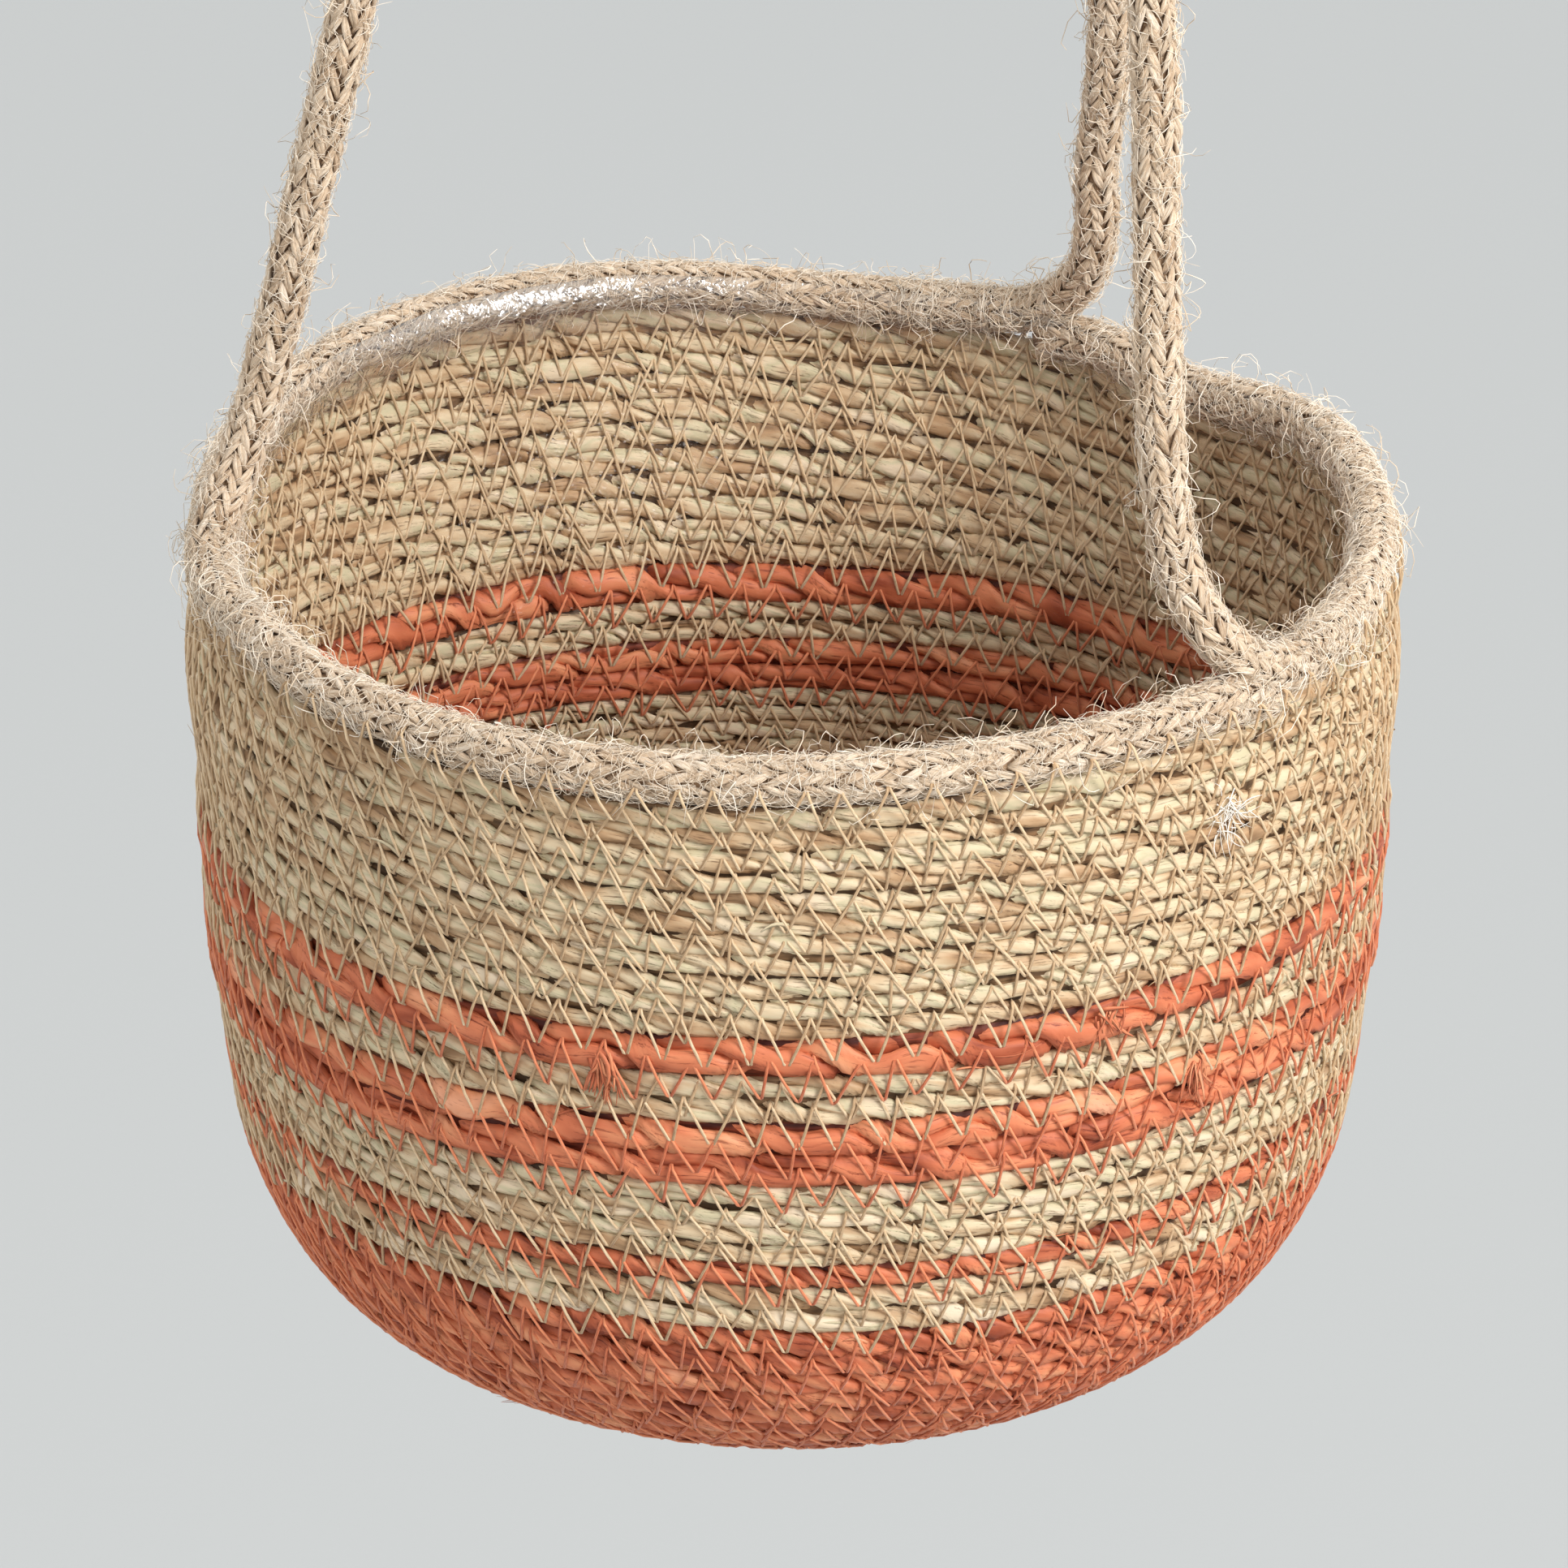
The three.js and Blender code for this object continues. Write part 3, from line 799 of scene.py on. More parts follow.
def makeFrays():
    rng = np.random.default_rng(frays["seed"])
    shreds = {"natural": [], "terracotta": [], "cotton": []}
    for _ in range(frays["strays"]):
        row = rows[rng.integers(len(rows))]
        heading = rng.normal(frays["lean"], frays["leanSpread"]) + np.pi * rng.integers(2)
        shreds["terracotta" if row["dyed"] else "natural"].append(leafShreds(
            [rng.uniform(0, 2 * np.pi)],
            row["centre"] + frays["offShare"] * row["pitch"] * rng.standard_normal(),
            heading,
            frays["length"] * rng.uniform(*frays["lengthRange"]),
            frays["lift"] * rng.uniform(*frays["liftRange"]) ** 2,
            frays["wide"] * rng.uniform(*frays["wideRange"]),
            rng))
    for splice in splices:
        count = splice["count"]
        shreds[splice["of"]].append(leafShreds(
            math.radians(splice["angle"])
            + rng.normal(0, splice.get("scatter", frays["scatterAround"]), count) / rimRadius,
            splice["run"] + rng.normal(0, splice.get("scatter", frays["scatterDown"]), count),
            np.radians(splice["heading"] + rng.normal(0, splice["spread"], count)),
            splice["length"] * rng.uniform(*frays["tuftLengthRange"], count),
            frays["lift"] * rng.uniform(*frays["tuftLiftRange"], count),
            splice.get("wide", frays["wide"]) * rng.uniform(*frays["tuftWideRange"], count),
            rng))
    materials = {"natural": naturalSeagrass, "terracotta": dyedSeagrass, "cotton": cottonWisp}
    for label, material in materials.items():
        piece = makePiece("frayed_ends_" + label, joined(shreds[label]), material, "planter")


makeFrays()


# jute cords

juteCord = {
    "columns": 10,           # half columns round the cord, two to a V
    "pitch": 2.9 * mm,       # from one V to the next
    "floatLength": 5.2 * mm,
    "innerRadius": 2.6 * mm,
    "outerRadius": 3.45 * mm,
    "strands": 2,            # side by side in one yarn
    "strandSpacing": 0.62 * mm,
    "strandRadius": 0.42 * mm,
    "rings": 7,
    "sides": 5,
    "lean": 1.05,            # columns that a float crosses
    "gatherEnd": 0.15,       # of a float's length, where its strands lie closest
    "riseEnd": 0.02,
    "risePower": 0.7,
    "taperEnd": 0.1,
    "taperPower": 0.3,
    "placeSpread": 0.1,      # of the pitch
    "lengthSpread": 0.07,
    "turnSpread": 0.09,      # of a column
    "yarnDepthSpread": 0.08 * mm,
    "strandDepthSpread": 0.07 * mm,
    "girthSpread": 0.12,
    "yarnToneSpread": 0.05,
    "strandToneSpread": 0.03,
    "crownPaintedLightAndShade": 0.12,       # painted light and shade: how much paler the tops of the floats are, and darker their ends where they go under
    "crownPaintedLightMiddle": 0.85,
    "grainReach": 3000,
    "heartRadius": 2.85 * mm,
    "heartStep": 3 * mm,
    "heartSides": 8,
    # painted shade: the heart's low tone colours it dark between the yarns
    "heartPaintedShade": 0.2,
    "routeStep": 1.5 * mm,
    "seed": 60,
}

fuzz = {
    "onHanger": 11,          # fibres to a millimetre of cord
    "onRim": 20,
    "inNest": 14,            # more of them where a hanging cord bends into the rim
    "nestRun": 15 * mm,
    "flyShare": 0.13,        # fibres that stand well clear
    "nestFlyShare": 0.3,
    "length": 3.8 * mm,
    "lift": 0.7 * mm,
    "flyLength": 7 * mm,
    "flyLift": 3.2 * mm,
    "thickness": 0.07 * mm,
    "flyThickness": 0.095 * mm,
    "bareTop": 3 * mm,       # no fibres where a hanging cord leaves the whipping
    "rings": 7,
    "sides": 3,
    "sunk": 0.35 * mm,       # how deep in the cord's surface a fibre starts
    "lengthRange": (0.5, 1.5),
    "liftRange": (0.1, 1.4),
    "liftPower": 1.3,
    "bow": 0.22,             # of a fibre's length
    "curl": 0.07,
    "flyCurl": 0.14,
    "flyShortening": 0.35,
    "standingShare": 0.4,    # of the flies, with a free end
    "standingPower": 1.2,
    "archRange": (0.5, 1.0),
    "rootGirth": 1.1,
    "taper": 0.6,
    "girthRange": (0.7, 1.3),
    "toneRange": (0.3, 0.8),
}


def braidFloats(guide, first, last, cord, scale, rng):
    # the V pattern of the cord: short yarn floats that lean left and right by turns
    counts = np.arange(math.ceil(first / cord["pitch"]), math.ceil(last / cord["pitch"]))
    step, column, strandNumber = np.meshgrid(
        counts, np.arange(cord["columns"]), np.arange(cord["strands"]), indexing="ij")
    # both strands of a yarn share its unevenness
    uneven = rng.standard_normal((5, len(counts), cord["columns"], 1))
    place, size, turn, depth, shade = (np.broadcast_to(row, step.shape).reshape(-1, 1) for row in uneven)
    step, column, strandNumber = step.reshape(-1, 1), column.reshape(-1, 1), strandNumber.reshape(-1, 1)
    middle = (step + cord["placeSpread"] * place) * cord["pitch"]
    lean = np.where(column % 2 == 0, 1.0, -1.0)
    wedge = 2 * np.pi / cord["columns"]
    t = np.linspace(0, 1, cord["rings"])[None, :]
    run = middle + (t - 0.5) * cord["floatLength"] * (1 + cord["lengthSpread"] * size)
    run = np.clip(run, first, last)
    aside = (strandNumber - (cord["strands"] - 1) / 2) * cord["strandSpacing"] / cord["outerRadius"]
    angle = column * wedge + (lean * (t - 0.5) * cord["lean"] + cord["turnSpread"] * turn) * wedge
    angle = angle + aside * swell(t, cord["gatherEnd"])
    rise = swell(t, cord["riseEnd"], cord["risePower"])
    radius = cord["innerRadius"] + (cord["outerRadius"] - cord["innerRadius"]) * rise
    radius = radius + cord["yarnDepthSpread"] * depth
    radius = scale * (radius + cord["strandDepthSpread"] * rng.standard_normal(step.shape))
    centres, ups = guide.at(run, angle, radius)
    girth = scale * cord["strandRadius"] * swell(t, cord["taperEnd"], cord["taperPower"])
    girth = girth * (1 + cord["girthSpread"] * rng.standard_normal(step.shape))
    tone = 0.5 + cord["yarnToneSpread"] * shade + cord["strandToneSpread"] * rng.standard_normal(step.shape)
    # painted light and shade: the tops of the floats paler, their ends darker where they go under
    tone = tone + cord["crownPaintedLightAndShade"] * (rise - cord["crownPaintedLightMiddle"])
    return tubes(centres, ups, girth, girth, cord["sides"], tone,
                 grainStart=rng.uniform(0, cord["grainReach"], len(step)))


def cordHeartInPaintedShade(guide, first, last, cord, scale):
    rings = max(4, round((last - first) / cord["heartStep"]))
    run = np.linspace(first, last, rings)
    centres, ups = guide.at(run, np.zeros(rings), np.zeros(rings))
    girth = np.full((1, rings), scale * cord["heartRadius"])
    tone = np.full((1, rings), cord["heartPaintedShade"])
    return tubes(centres[None], ups[None], girth, girth, cord["heartSides"], tone)


def plaited(guide, first, last, rng, scale=1):
    # a stretch of the cord: its plaited cover and a heart, painted dark as the shade that shows between the
    # yarns
    return joined([
        braidFloats(guide, first, last, juteCord, scale, rng),
        cordHeartInPaintedShade(guide, first, last, juteCord, scale),
    ])


def looseFibres(guide, first, last, surface, density, flyShare, rng):
    count = round((last - first) / mm * density)
    flies = (rng.uniform(size=count) < flyShare)[:, None]
    one = (count, 1)
    length = np.where(flies, fuzz["flyLength"], fuzz["length"]) * rng.uniform(*fuzz["lengthRange"], one)
    lift = np.where(flies, fuzz["flyLift"], fuzz["lift"])
    lift = lift * rng.uniform(*fuzz["liftRange"], one) ** fuzz["liftPower"]
    heading = rng.uniform(0, 2 * np.pi, one)
    t = np.linspace(0, 1, fuzz["rings"])[None, :]
    bow = length * fuzz["bow"] * rng.standard_normal(one) * np.sin(np.pi * t)
    swing = np.sin(3 * np.pi * t + rng.uniform(0, anyTurn, one))
    curl = length * np.where(flies, fuzz["flyCurl"], fuzz["curl"]) * rng.standard_normal(one) * swing
    onward = length * t * (1 - fuzz["flyShortening"] * flies)
    aside = bow + curl
    run = rng.uniform(first, last, one) + onward * np.cos(heading) - aside * np.sin(heading)
    run = np.clip(run, first, last)
    angle = rng.uniform(0, 2 * np.pi, one) + (onward * np.sin(heading) + aside * np.cos(heading)) / surface
    standing = flies & (rng.uniform(size=one) < fuzz["standingShare"])
    bent = np.sin(np.pi * t * rng.uniform(*fuzz["archRange"], one))
    arch = np.where(standing, t ** fuzz["standingPower"], bent)
    centres, ups = guide.at(run, angle, surface - fuzz["sunk"] + lift * arch)
    girth = np.where(flies, fuzz["flyThickness"], fuzz["thickness"])
    girth = girth * (fuzz["rootGirth"] - fuzz["taper"] * t) * rng.uniform(*fuzz["girthRange"], one)
    return tubes(centres, ups, girth, girth, fuzz["sides"], rng.uniform(*fuzz["toneRange"], one))


# each hanging cord from the whipping down into the rim, in metres from the rim's centre
cordRoutes = {
    "left": [
        (-0.00485, 0, 0.400), (-0.0049, 0, 0.390), (-0.006, 0, 0.376), (-0.0099, -0.0002, 0.355),
        (-0.0225, -0.0009, 0.300), (-0.0383, -0.0022, 0.230), (-0.0531, -0.0037, 0.165),
        (-0.0694, -0.0051, 0.0925), (-0.0773, -0.0057, 0.060), (-0.0808, -0.0059, 0.045),
        (-0.084, -0.0058, 0.032), (-0.087, -0.0068, 0.021), (-0.0904, -0.0101, 0.0115),
        (-0.0933, -0.0158, 0.005), (-0.0934, -0.0208, 0.0017), (-0.09262, -0.02524, 0.0003),
        (-0.09179, -0.02812, 0.00003), (-0.09103, -0.0305, 0),
    ],
    "front": [
        (0.00243, -0.0042, 0.400), (0.0026, -0.0044, 0.390), (0.0043, -0.0071, 0.377),
        (0.0094, -0.0139, 0.356), (0.0225, -0.0268, 0.300), (0.0363, -0.0376, 0.230),
        (0.048, -0.0457, 0.165), (0.0549, -0.0511, 0.110), (0.056, -0.0566, 0.075),
        (0.0567, -0.0608, 0.050), (0.058, -0.064, 0.032), (0.0602, -0.0653, 0.021),
        (0.0648, -0.0658, 0.0115), (0.0701, -0.0635, 0.005), (0.0741, -0.0605, 0.0017),
        (0.07711, -0.05718, 0.0003), (0.07886, -0.05474, 0.00003), (0.08026, -0.05267, 0),
    ],
    "back": [
        (0.00243, 0.0042, 0.400), (0.0026, 0.0044, 0.390), (0.0042, 0.0072, 0.377),
        (0.0087, 0.0139, 0.356), (0.0207, 0.028, 0.300), (0.0325, 0.0409, 0.230),
        (0.0426, 0.0517, 0.165), (0.0497, 0.0603, 0.108), (0.0529, 0.066, 0.066),
        (0.0524, 0.0692, 0.047), (0.0511, 0.0724, 0.032), (0.0514, 0.0741, 0.021),
        (0.0502, 0.0778, 0.0115), (0.0467, 0.0823, 0.005), (0.0429, 0.0855, 0.0017),
        (0.03898, 0.08773, 0.0003), (0.03622, 0.0889, 0.00003), (0.0339, 0.08982, 0),
    ],
}
cordAngles = {"left": 184.2, "front": -47.6, "back": 55.0}   # degrees round the rim
rimAfter = {                 # the rim cord that each one becomes, and the cord whose bend it ends under
    "left": ("rim_cord_front", "front"),
    "front": ("rim_cord_right", "back"),
    "back": ("rim_cord_back", "left"),
}
bendRun = 24 * mm
tuck = {                     # how the end of a rim cord goes under the next cord
    "run": 14 * mm,
    "easeRun": 16 * mm,
    "down": 3.2 * mm,
    "settleAngle": 0.12,     # radians from a bend in which the rim cord takes up the rim's own shape
}


def rimLine(start, end):
    angle = np.linspace(start, end, max(8, round((end - start) * rimRadius / mm)))
    out, up = departures(angle, np.zeros_like(angle))
    settle = np.clip((angle - start) / tuck["settleAngle"], 0, 1) ** 2
    ending = np.clip(1 - (end - angle) * rimRadius / tuck["easeRun"], 0, 1) ** 2
    radius = rimRadius + out * settle
    return np.stack([radius * np.cos(angle), radius * np.sin(angle), up - tuck["down"] * ending], axis=1)


def makeCord(name, seed):
    rng = np.random.default_rng(seed)
    rimNode, nextName = rimAfter[name]
    route = smoothLine(cordRoutes[name], juteCord["routeStep"])
    # its bend settles with the soft rim
    hangLength = lengthsAlong(route)[-1]
    around = np.arctan2(route[:, 1], route[:, 0])
    settled = np.clip(1 - (hangLength - lengthsAlong(route)) / bendRun, 0, 1) ** 2
    route[:, 2] += departures(around, np.zeros_like(around))[1] * settled
    start = math.radians(cordAngles[name]) + bendRun / rimRadius
    end = math.radians(cordAngles[nextName]) + tuck["run"] / rimRadius
    while end < start:
        end += 2 * math.pi
    rim = rimLine(start, end)
    line = np.vstack([route, rim[1:]]) + np.array([0, 0, rimHeight])
    guide = Guide(line, (0, 1, 0))
    whole = guide.run[-1]
    hanging = makePiece("jute_cord_" + name, plaited(guide, 0, hangLength, rng), juteYarn, "planter")
    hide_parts("hanging_cord_" + name)
    hairs = joined([
        looseFibres(guide, fuzz["bareTop"], hangLength, cordRadius, fuzz["onHanger"], fuzz["flyShare"], rng),
        looseFibres(guide, hangLength - fuzz["nestRun"], hangLength, cordRadius, fuzz["inNest"],
                    fuzz["nestFlyShare"], rng),
    ])
    hairPiece = makePiece("jute_fibres_" + name, hairs, juteFibre, "planter")
    rimPiece = makePiece("jute_" + rimNode, plaited(guide, hangLength, whole, rng), juteYarn, "planter")
    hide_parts(rimNode)
    rimHairs = joined([
        looseFibres(guide, hangLength, whole, cordRadius, fuzz["onRim"], fuzz["flyShare"], rng),
        looseFibres(guide, hangLength, hangLength + fuzz["nestRun"], cordRadius, fuzz["inNest"],
                    fuzz["nestFlyShare"], rng),
    ])
    rimHairPiece = makePiece("jute_fibres_" + rimNode, rimHairs, juteFibre, "planter")
    print("cord", name, "hangs", round(hangLength, 3), "m")


for number, cordName in enumerate(cordRoutes):
    makeCord(cordName, juteCord["seed"] + number)


# loop, knot and whipping

loopShape = {
    "seed": 71,
    "halfWidth": 16 * mm,
    "height": 46 * mm,
    "gap": 0.3 * mm,          # between its legs
    "waistShare": 0.6,
    "waistDepthShare": 0.64,
    "neckDepthShare": 0.88,
    "intoKnot": 9 * mm,
    "footShare": 0.8,         # how much closer the legs come inside the knot
}


def makeLoop(shape):
    wide = shape["halfWidth"]
    leg = cordRadius + shape["gap"] / 2
    bend = cordRadius - wide
    half = [
        (leg * shape["footShare"], -shape["height"] - shape["intoKnot"]),
        (leg, -shape["height"]),
        (leg, -shape["height"] * shape["neckDepthShare"]),
        (wide * shape["waistShare"], -shape["height"] * shape["waistDepthShare"]),
        (wide, bend),
        (wide * math.sqrt(0.5), bend + wide * math.sqrt(0.5)),
    ]
    points = [(-x, 0, z) for x, z in half] + [(0, 0, cordRadius)] + [(x, 0, z) for x, z in reversed(half)]
    guide = Guide(smoothLine(points, juteCord["routeStep"]), (0, 1, 0))
    rng = np.random.default_rng(shape["seed"])
    long = guide.run[-1]
    piece = makePiece("jute_hanging_loop", plaited(guide, 0, long, rng), juteYarn, "hanging_loop")
    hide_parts("hanging_loop")
    loose = looseFibres(guide, 0, long, cordRadius, fuzz["onHanger"], fuzz["flyShare"], rng)
    hairs = makePiece("jute_fibres_loop", loose, juteFibre, "hanging_loop")


makeLoop(loopShape)

knotShape = {
    "seed": 72,
    "wrapRadius": 6.4 * mm,
    "swingRadius": 2.5 * mm,
    "rise": 6.3 * mm,
    "windings": 2,            # of the cord round the knot's middle
    "waves": 3,               # over and under on the way
    "curvePoints": 160,
    "step": 1 * mm,
    "cordScale": 0.94,        # the cord is pulled thinner in the knot
    "flyShare": 0.05,
    "hairyFrom": 2 * mm,      # above the knot's middle
}


def makeKnot(shape):
    low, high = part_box("top_knot")
    centre = (np.array(low) + np.array(high)) / 2
    t = np.linspace(0, 2 * np.pi, shape["curvePoints"])
    winding = shape["windings"] * t
    wave = shape["waves"] * t
    ring = shape["wrapRadius"] + shape["swingRadius"] * np.cos(wave)
    line = np.stack([ring * np.cos(winding), ring * np.sin(winding), shape["rise"] * np.sin(wave)], axis=1)
    guide = Guide(evenly(line + centre, shape["step"]), (0, 0, 1))
    rng = np.random.default_rng(shape["seed"])
    knot = plaited(guide, 0, guide.run[-1], rng, shape["cordScale"])
    piece = makePiece("jute_top_knot", knot, juteYarn, "top_knot")
    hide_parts("top_knot")
    # only its upper turns are hairy, so that it swings clear of the cords and twine under it
    above = guide.line[:, 2] > centre[2] + shape["hairyFrom"]
    turns = np.flatnonzero(np.diff(above.astype(int))) + 1
    stretches = [run for run, high in zip(np.split(guide.run, turns), np.split(above, turns)) if high[0]]
    loose = joined([looseFibres(guide, run[0], run[-1], shape["cordScale"] * cordRadius, fuzz["onHanger"],
                                shape["flyShare"], rng) for run in stretches])
    hairs = makePiece("jute_fibres_knot", loose, juteFibre, "top_knot")


makeKnot(knotShape)

whippingShape = {
    "seed": 73,
    "turns": 11,
    "twineRadius": 1.15 * mm,
    "plyShare": 0.62,         # of the twine's radius
    "lay": 6 * mm,
    "step": 0.6 * mm,
    "sides": 6,
    "girthSpread": 0.1,
    "girthWaves": (20, 90),   # along the whole twine
    "toneSpread": 0.12,
    "toneWaves": (10, 60),
    "grainReach": 900,
    "fuzz": 26,
    "flyShare": 0.1,
    "below": 1.5 * mm,        # how far the cords reach under the twine
    "intoKnot": 7 * mm,
    "pulls": (1, 0.95, 0.6),  # how far apart the cords are below, at the twine's top and in the knot
    "cordStep": 1 * mm,
}


def makeWhipping(shape):
    low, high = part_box("cord_whipping")
    outer = (high[0] - low[0]) / 2
    centre = np.array([(low[0] + high[0]) / 2, (low[1] + high[1]) / 2, 0])
    rng = np.random.default_rng(shape["seed"])
    wound = outer - shape["twineRadius"]
    long = 2 * np.pi * wound * shape["turns"]
    steps = round(long / shape["step"])
    t = np.linspace(0, 1, steps)
    angle = 2 * np.pi * shape["turns"] * t
    height = low[2] + shape["twineRadius"] + (high[2] - low[2] - 2 * shape["twineRadius"]) * t
    radial = np.stack([np.cos(angle), np.sin(angle), 0 * angle], axis=1)
    line = radial * wound + np.array([0, 0, 1]) * height[:, None] + centre
    plies = []
    for turned in (0, np.pi):
        phase = 2 * np.pi * t * long / shape["lay"] + turned
        away = shape["twineRadius"] * (1 - shape["plyShare"])
        ply = line + away * (radial * np.cos(phase)[:, None] + np.array([0, 0, 1]) * np.sin(phase)[:, None])
        uneven = wobble(rng, angle / shape["turns"], *shape["girthWaves"])
        girth = shape["twineRadius"] * shape["plyShare"] * (1 + shape["girthSpread"] * uneven)
        tone = 0.5 + shape["toneSpread"] * wobble(rng, angle / shape["turns"], *shape["toneWaves"])
        plies.append(tubes(ply[None], radial[None], girth[None], girth[None], shape["sides"], tone,
                           grainStart=rng.uniform(0, shape["grainReach"], 1)))
    piece = makePiece("jute_whipping", joined(plies), juteYarn, "cord_whipping")
    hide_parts("cord_whipping")
    spine = Guide(smoothLine([(0, 0, low[2]), (0, 0, high[2])], shape["cordStep"]) + centre, (1, 0, 0))
    loose = looseFibres(spine, 0, spine.run[-1], outer, shape["fuzz"], shape["flyShare"], rng)
    hairs = makePiece("jute_fibres_whipping", loose, juteFibre, "cord_whipping")
    # the three hanging cords go up through the twine into the knot
    heights = (low[2] - shape["below"], high[2], high[2] + shape["intoKnot"])
    ends = []
    for route in cordRoutes.values():
        x, y, _ = route[0]
        points = [(x * pull, y * pull, height) for pull, height in zip(shape["pulls"], heights)]
        guide = Guide(smoothLine(points, shape["cordStep"]), (0, 1, 0))
        ends.append(plaited(guide, 0, guide.run[-1], rng))
    cords = makePiece("jute_cords_in_whipping", joined(ends), juteYarn, "cord_whipping")


makeWhipping(whippingShape)
print("loop, knot and whipping tied")


# film liner

filmShape = {
    "seed": 90,
    "rings": 240,
    "topPoints": 9,
    "points": 60,             # from the fold down to the middle of the bottom
    "hubMargin": 1 * mm,
    "inside": 2.9 * mm,
    "thickness": 0.25 * mm,
    "topRun": -7 * mm,
    "foldDepth": 3.5 * mm,
    "bulge": 2.1 * mm,        # how far the top of the film stands off over the rim cord
    "bulgeDepth": -3.4 * mm,
    "bulgeTall": 4.2 * mm,
    "bulgeSway": 0.3,
    "swayWaves": (9, 40),     # round the basket
    "creases": 10,
    "creaseWaves": (12, 70),
    "creaseSlant": 0.5,       # radians to a millimetre down the wall
    "loose": 0.3 * mm,        # how far the film stands off the wall by itself
    "looseSway": 0.45,
    "looseCrease": 0.16,
    "foldPower": 0.7,
    "grainRadius": 95 * mm,   # of the ring on which the surface's creases are laid out
    "creaseScale": 0.24,      # creases to a millimetre, in the surface
    "creaseDepth": 1.5 * mm,
    "haze": "#d9d5cf",
    "straightOn": 0.04,       # what clear plastic reflects straight on
    "grazingPower": 5,
    "roughness": 0.14,
    "veil": 0.1,              # whiteness of the crumpled top edge
    "sheen": 0.4,             # gloss of the smooth film
    "crumpleSheen": 3.6,      # and what the crumpled edge adds
    "smoothShare": 0.2,       # of the crumple, where the top edge lies smooth
    "crumples": [             # where the top edge is crumpled, in degrees round the rim
        {"at": 122, "width": 27, "share": 1.0},
        {"at": 74, "width": 16, "share": 0.1},
    ],
}


def filmMaterial(values):
    # clear polythene film, blown thin: nearly invisible, hazy white where its edge is crumpled, and with
    # sharp glints on its creases
    material, tree = newMaterial("polytheneFilmClear")
    tone = addNode(tree, "ShaderNodeAttribute", attribute_name="tone")
    grain = addNode(tree, "ShaderNodeAttribute", attribute_name="grain")
    crease = addNode(tree, "ShaderNodeTexNoise",
                     {"Scale": values["creaseScale"], "Detail": 3, "Roughness": 0.55},
                     {"Vector": grain.outputs["Vector"]})
    bump = addNode(tree, "ShaderNodeBump", {"Strength": 1.0, "Distance": values["creaseDepth"]},
                   {"Height": crease.outputs["Fac"]})
    patchy = addNode(tree, "ShaderNodeMapRange",
                     {"From Min": 0.42, "From Max": 0.7, "To Min": 0.1, "To Max": 1.0},
                     {"Value": crease.outputs["Fac"]})
    veil = addNode(tree, "ShaderNodeMath", links={0: tone.outputs["Fac"], 1: patchy.outputs[0]},
                   operation="MULTIPLY")
    cloudy = addNode(tree, "ShaderNodeMath", {1: values["veil"]}, {0: veil.outputs[0]}, operation="MULTIPLY")
    skin = addNode(tree, "ShaderNodeBsdfDiffuse", {"Color": colour(values["haze"]), "Roughness": 0.3},
                   {"Normal": bump.outputs[0]})
    clear = addNode(tree, "ShaderNodeBsdfTransparent")
    body = addNode(tree, "ShaderNodeMixShader",
                   links={0: cloudy.outputs[0], 1: clear.outputs[0], 2: skin.outputs[0]})
    facing = addNode(tree, "ShaderNodeLayerWeight", {"Blend": 0.5}, {"Normal": bump.outputs[0]})
    grazing = addNode(tree, "ShaderNodeMath", {1: values["grazingPower"]}, {0: facing.outputs["Facing"]},
                      operation="POWER")
    mirror = addNode(tree, "ShaderNodeMath", {1: 1 - values["straightOn"], 2: values["straightOn"]},
                     {0: grazing.outputs[0]}, operation="MULTIPLY_ADD")
    gloss = addNode(tree, "ShaderNodeMath", {1: values["crumpleSheen"], 2: values["sheen"]},
                    {0: tone.outputs["Fac"]}, operation="MULTIPLY_ADD")
    share = addNode(tree, "ShaderNodeMath", links={0: mirror.outputs[0], 1: gloss.outputs[0]},
                    operation="MULTIPLY", use_clamp=True)
    shine = addNode(tree, "ShaderNodeBsdfGlossy", {"Roughness": values["roughness"]},
                    {"Normal": bump.outputs[0]})
    mixed = addNode(tree, "ShaderNodeMixShader",
                    links={0: share.outputs[0], 1: body.outputs[0], 2: shine.outputs[0]})
    addNode(tree, "ShaderNodeOutputMaterial", links={"Surface": mixed.outputs[0]})
    return material


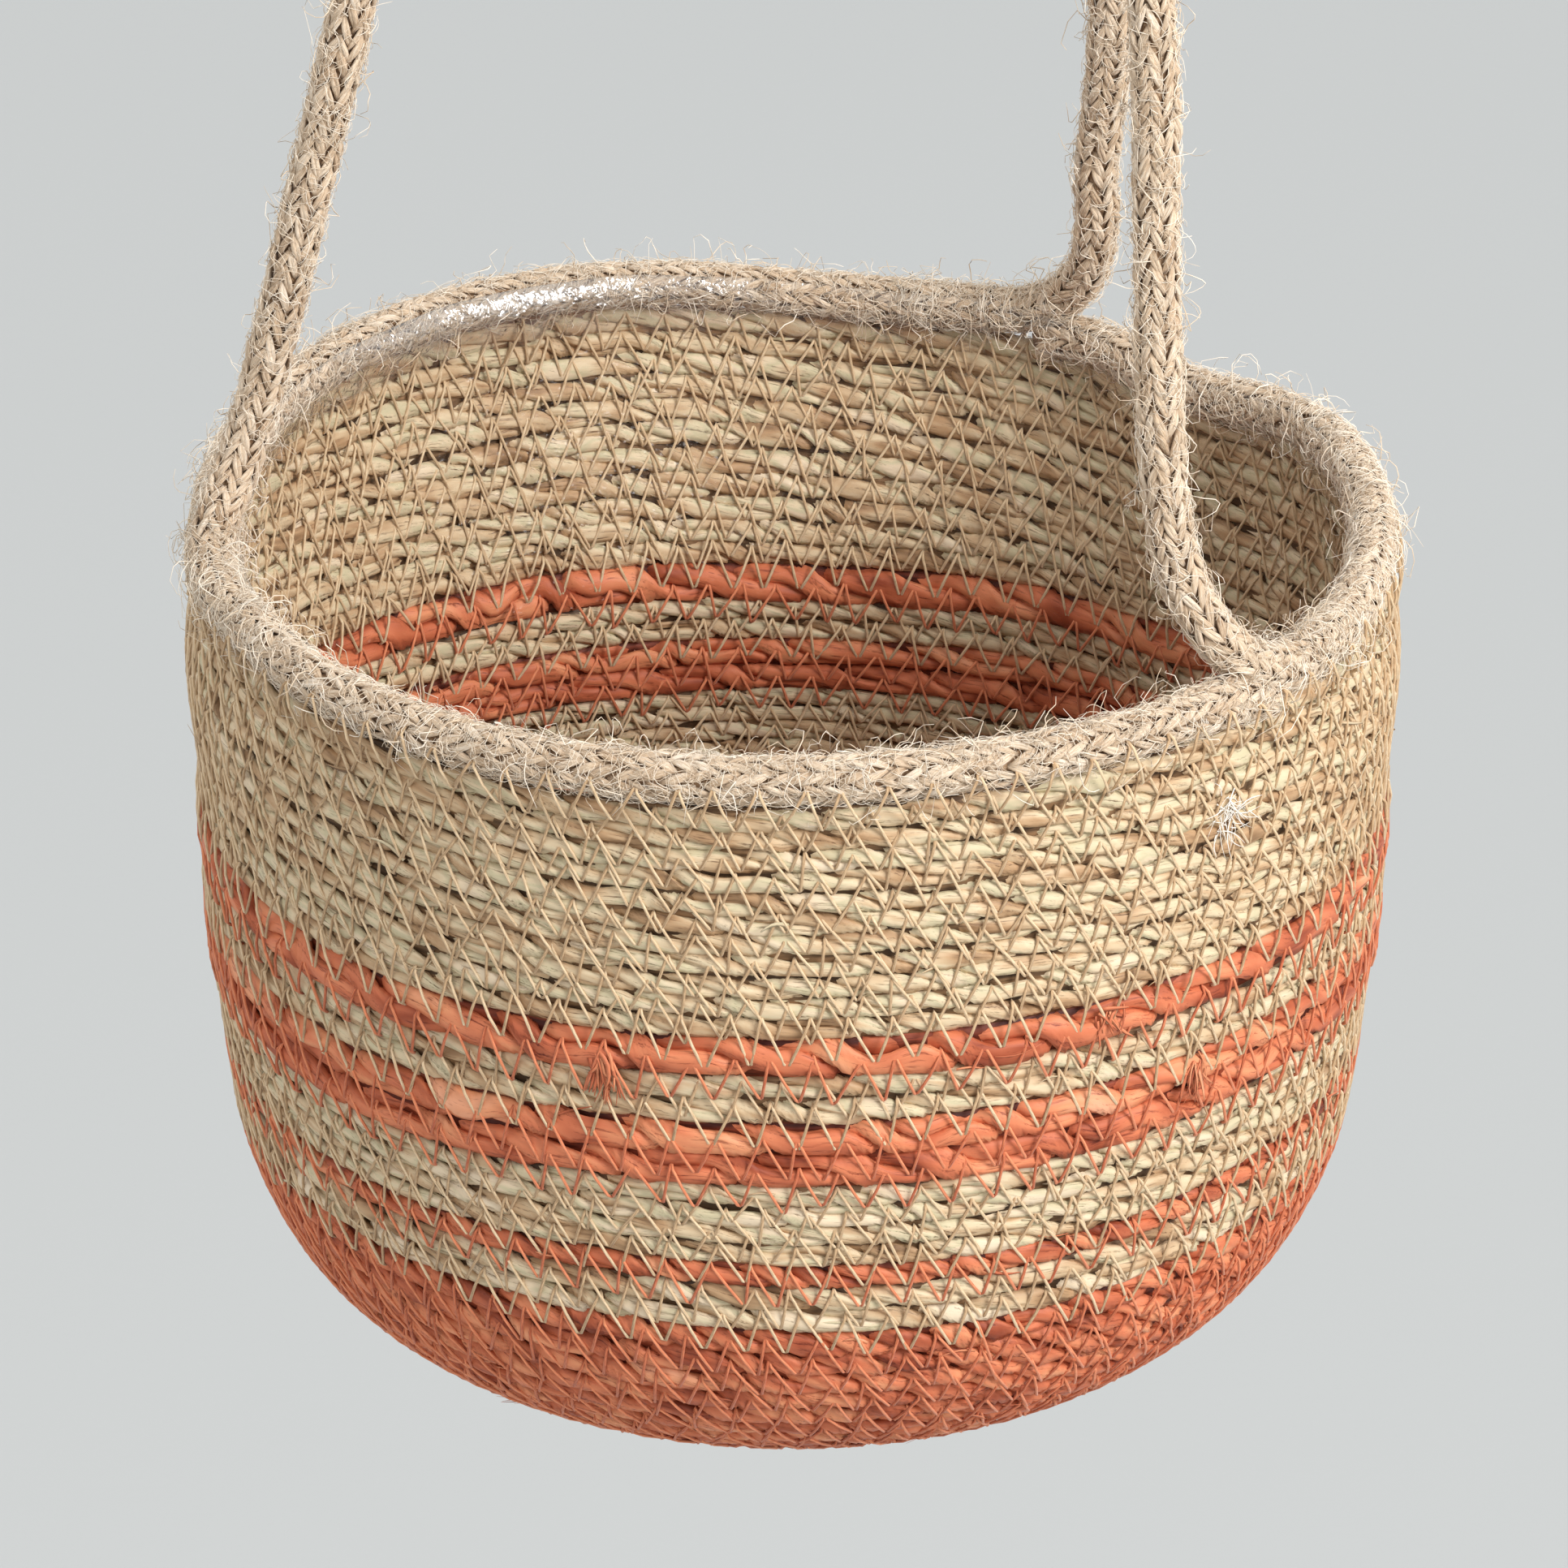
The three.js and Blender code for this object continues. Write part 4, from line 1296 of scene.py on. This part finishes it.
def makeFilm(shape):
    rng = np.random.default_rng(shape["seed"])
    rings = shape["rings"]
    angle = (np.arange(rings) * 2 * np.pi / rings)[:, None]
    bottom = profile["run"][-1] - shape["hubMargin"]
    downs = np.concatenate([
        np.linspace(shape["topRun"], shape["foldDepth"], shape["topPoints"])[:-1],
        np.linspace(shape["foldDepth"], bottom, shape["points"]),
    ])
    sway = wobble(rng, angle, *shape["swayWaves"])
    crinkle = np.zeros((rings, len(downs)))
    for _ in range(shape["creases"]):
        phase = rng.integers(*shape["creaseWaves"]) * angle + rng.uniform(0, anyTurn)
        slant = rng.uniform(-shape["creaseSlant"], shape["creaseSlant"])
        crinkle += np.cos(phase + downs[None, :] / mm * slant)
    crumple = np.full_like(angle, shape["smoothShare"])
    for place in shape["crumples"]:
        away = awayFrom(angle, place["at"]) / math.radians(place["width"])
        crumple = crumple + place["share"] * np.exp(-away ** 2)
    bulge = shape["bulge"] * crumple * np.exp(-((downs - shape["bulgeDepth"]) / shape["bulgeTall"]) ** 2)
    slack = shape["loose"] * (1 + shape["looseSway"] * sway + shape["looseCrease"] * crinkle)
    inward = shape["inside"] + bulge * (1 + shape["bulgeSway"] * sway) + slack
    inner = onWall(angle, downs[None, :], -inward - shape["thickness"])
    outer = onWall(angle, downs[None, ::-1], -inward[:, ::-1])
    verts = np.concatenate([outer, inner], axis=1)
    folded = np.clip(1 - downs / shape["foldDepth"], 0, 1) ** shape["foldPower"]
    tone = crumple * np.concatenate([folded[::-1], folded])[None, :]
    run = np.concatenate([downs[::-1], downs])[None, :] / mm
    reach = shape["grainRadius"] / mm
    grain = np.stack(np.broadcast_arrays(np.cos(angle) * reach, np.sin(angle) * reach, run), axis=-1)
    film = {"verts": verts.reshape(-1, 3), "faces": tubeFaces(1, rings, verts.shape[1], True),
            "grain": grain.reshape(-1, 3), "tone": tone.reshape(-1)}
    piece = makePiece("film_liner", film, filmMaterial(shape), "planter")
    piece.visible_shadow = False
    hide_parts("liner_film")


makeFilm(filmShape)
print("film liner fitted")


# floor and light

studio = {
    "floorHeight": -1.5,
    "floorSize": 100,
    "floorColour": "#c6c7c5",
    "floorRoughness": 0.95,
    "floorGrain": 60,         # to a metre
    "floorBump": 0.25,
    "floorBumpDepth": 1 * mm,
    "keyPower": 22,
    "keySize": 0.7,
    "keyPlace": (0.95, -0.86, 0.84),
    "keyTarget": (0, 0, rimHeight - 60 * mm),
    "skyColour": "#f4f6f8",
    "worldStrength": 1.1,
}


def plasterMaterial(values):
    # painted plaster, trowelled smooth: matte and pale, with a fine grain
    material, tree = newMaterial("paintedPlasterPale")
    place = addNode(tree, "ShaderNodeTexCoord")
    noise = addNode(tree, "ShaderNodeTexNoise",
                    {"Scale": values["floorGrain"], "Detail": 4, "Roughness": 0.6},
                    {"Vector": place.outputs["Object"]})
    bump = addNode(tree, "ShaderNodeBump",
                   {"Strength": values["floorBump"], "Distance": values["floorBumpDepth"]},
                   {"Height": noise.outputs["Fac"]})
    paint = addNode(tree, "ShaderNodeBsdfPrincipled",
                    {"Base Color": colour(values["floorColour"]), "Roughness": values["floorRoughness"]},
                    {"Normal": bump.outputs[0]})
    addNode(tree, "ShaderNodeOutputMaterial", links={"Surface": paint.outputs[0]})
    return material


def makeFloor(values):
    reach = values["floorSize"] / 2
    corners = [(x * reach, y * reach, values["floorHeight"]) for x, y in ((-1, -1), (1, -1), (1, 1), (-1, 1))]
    mesh = bpy.data.meshes.new("floor")
    mesh.from_pydata(corners, [], [(0, 1, 2, 3)])
    mesh.materials.append(plasterMaterial(values))
    floor = bpy.data.objects.new("floor", mesh)
    bpy.context.scene.collection.objects.link(floor)


def makeLights(values):
    light = bpy.data.lights.new("key", "AREA")
    light.energy = values["keyPower"]
    light.size = values["keySize"]
    lamp = bpy.data.objects.new("key", light)
    target = np.array(values["keyTarget"])
    place = target + np.array(values["keyPlace"])
    lamp.location = place
    toward = target - place
    lamp.rotation_euler = (math.atan2(math.hypot(toward[0], toward[1]), -toward[2]), 0,
                           math.atan2(toward[1], toward[0]) - math.pi / 2)
    bpy.context.scene.collection.objects.link(lamp)
    world = bpy.data.worlds.new("studio")
    bpy.context.scene.world = world
    world.use_nodes = True
    sky = world.node_tree.nodes["Background"]
    sky.inputs["Color"].default_value = colour(values["skyColour"])
    sky.inputs["Strength"].default_value = values["worldStrength"]


makeFloor(studio)
makeLights(studio)
bpy.context.scene.view_settings.view_transform = "Standard"
print("floor and lights set")
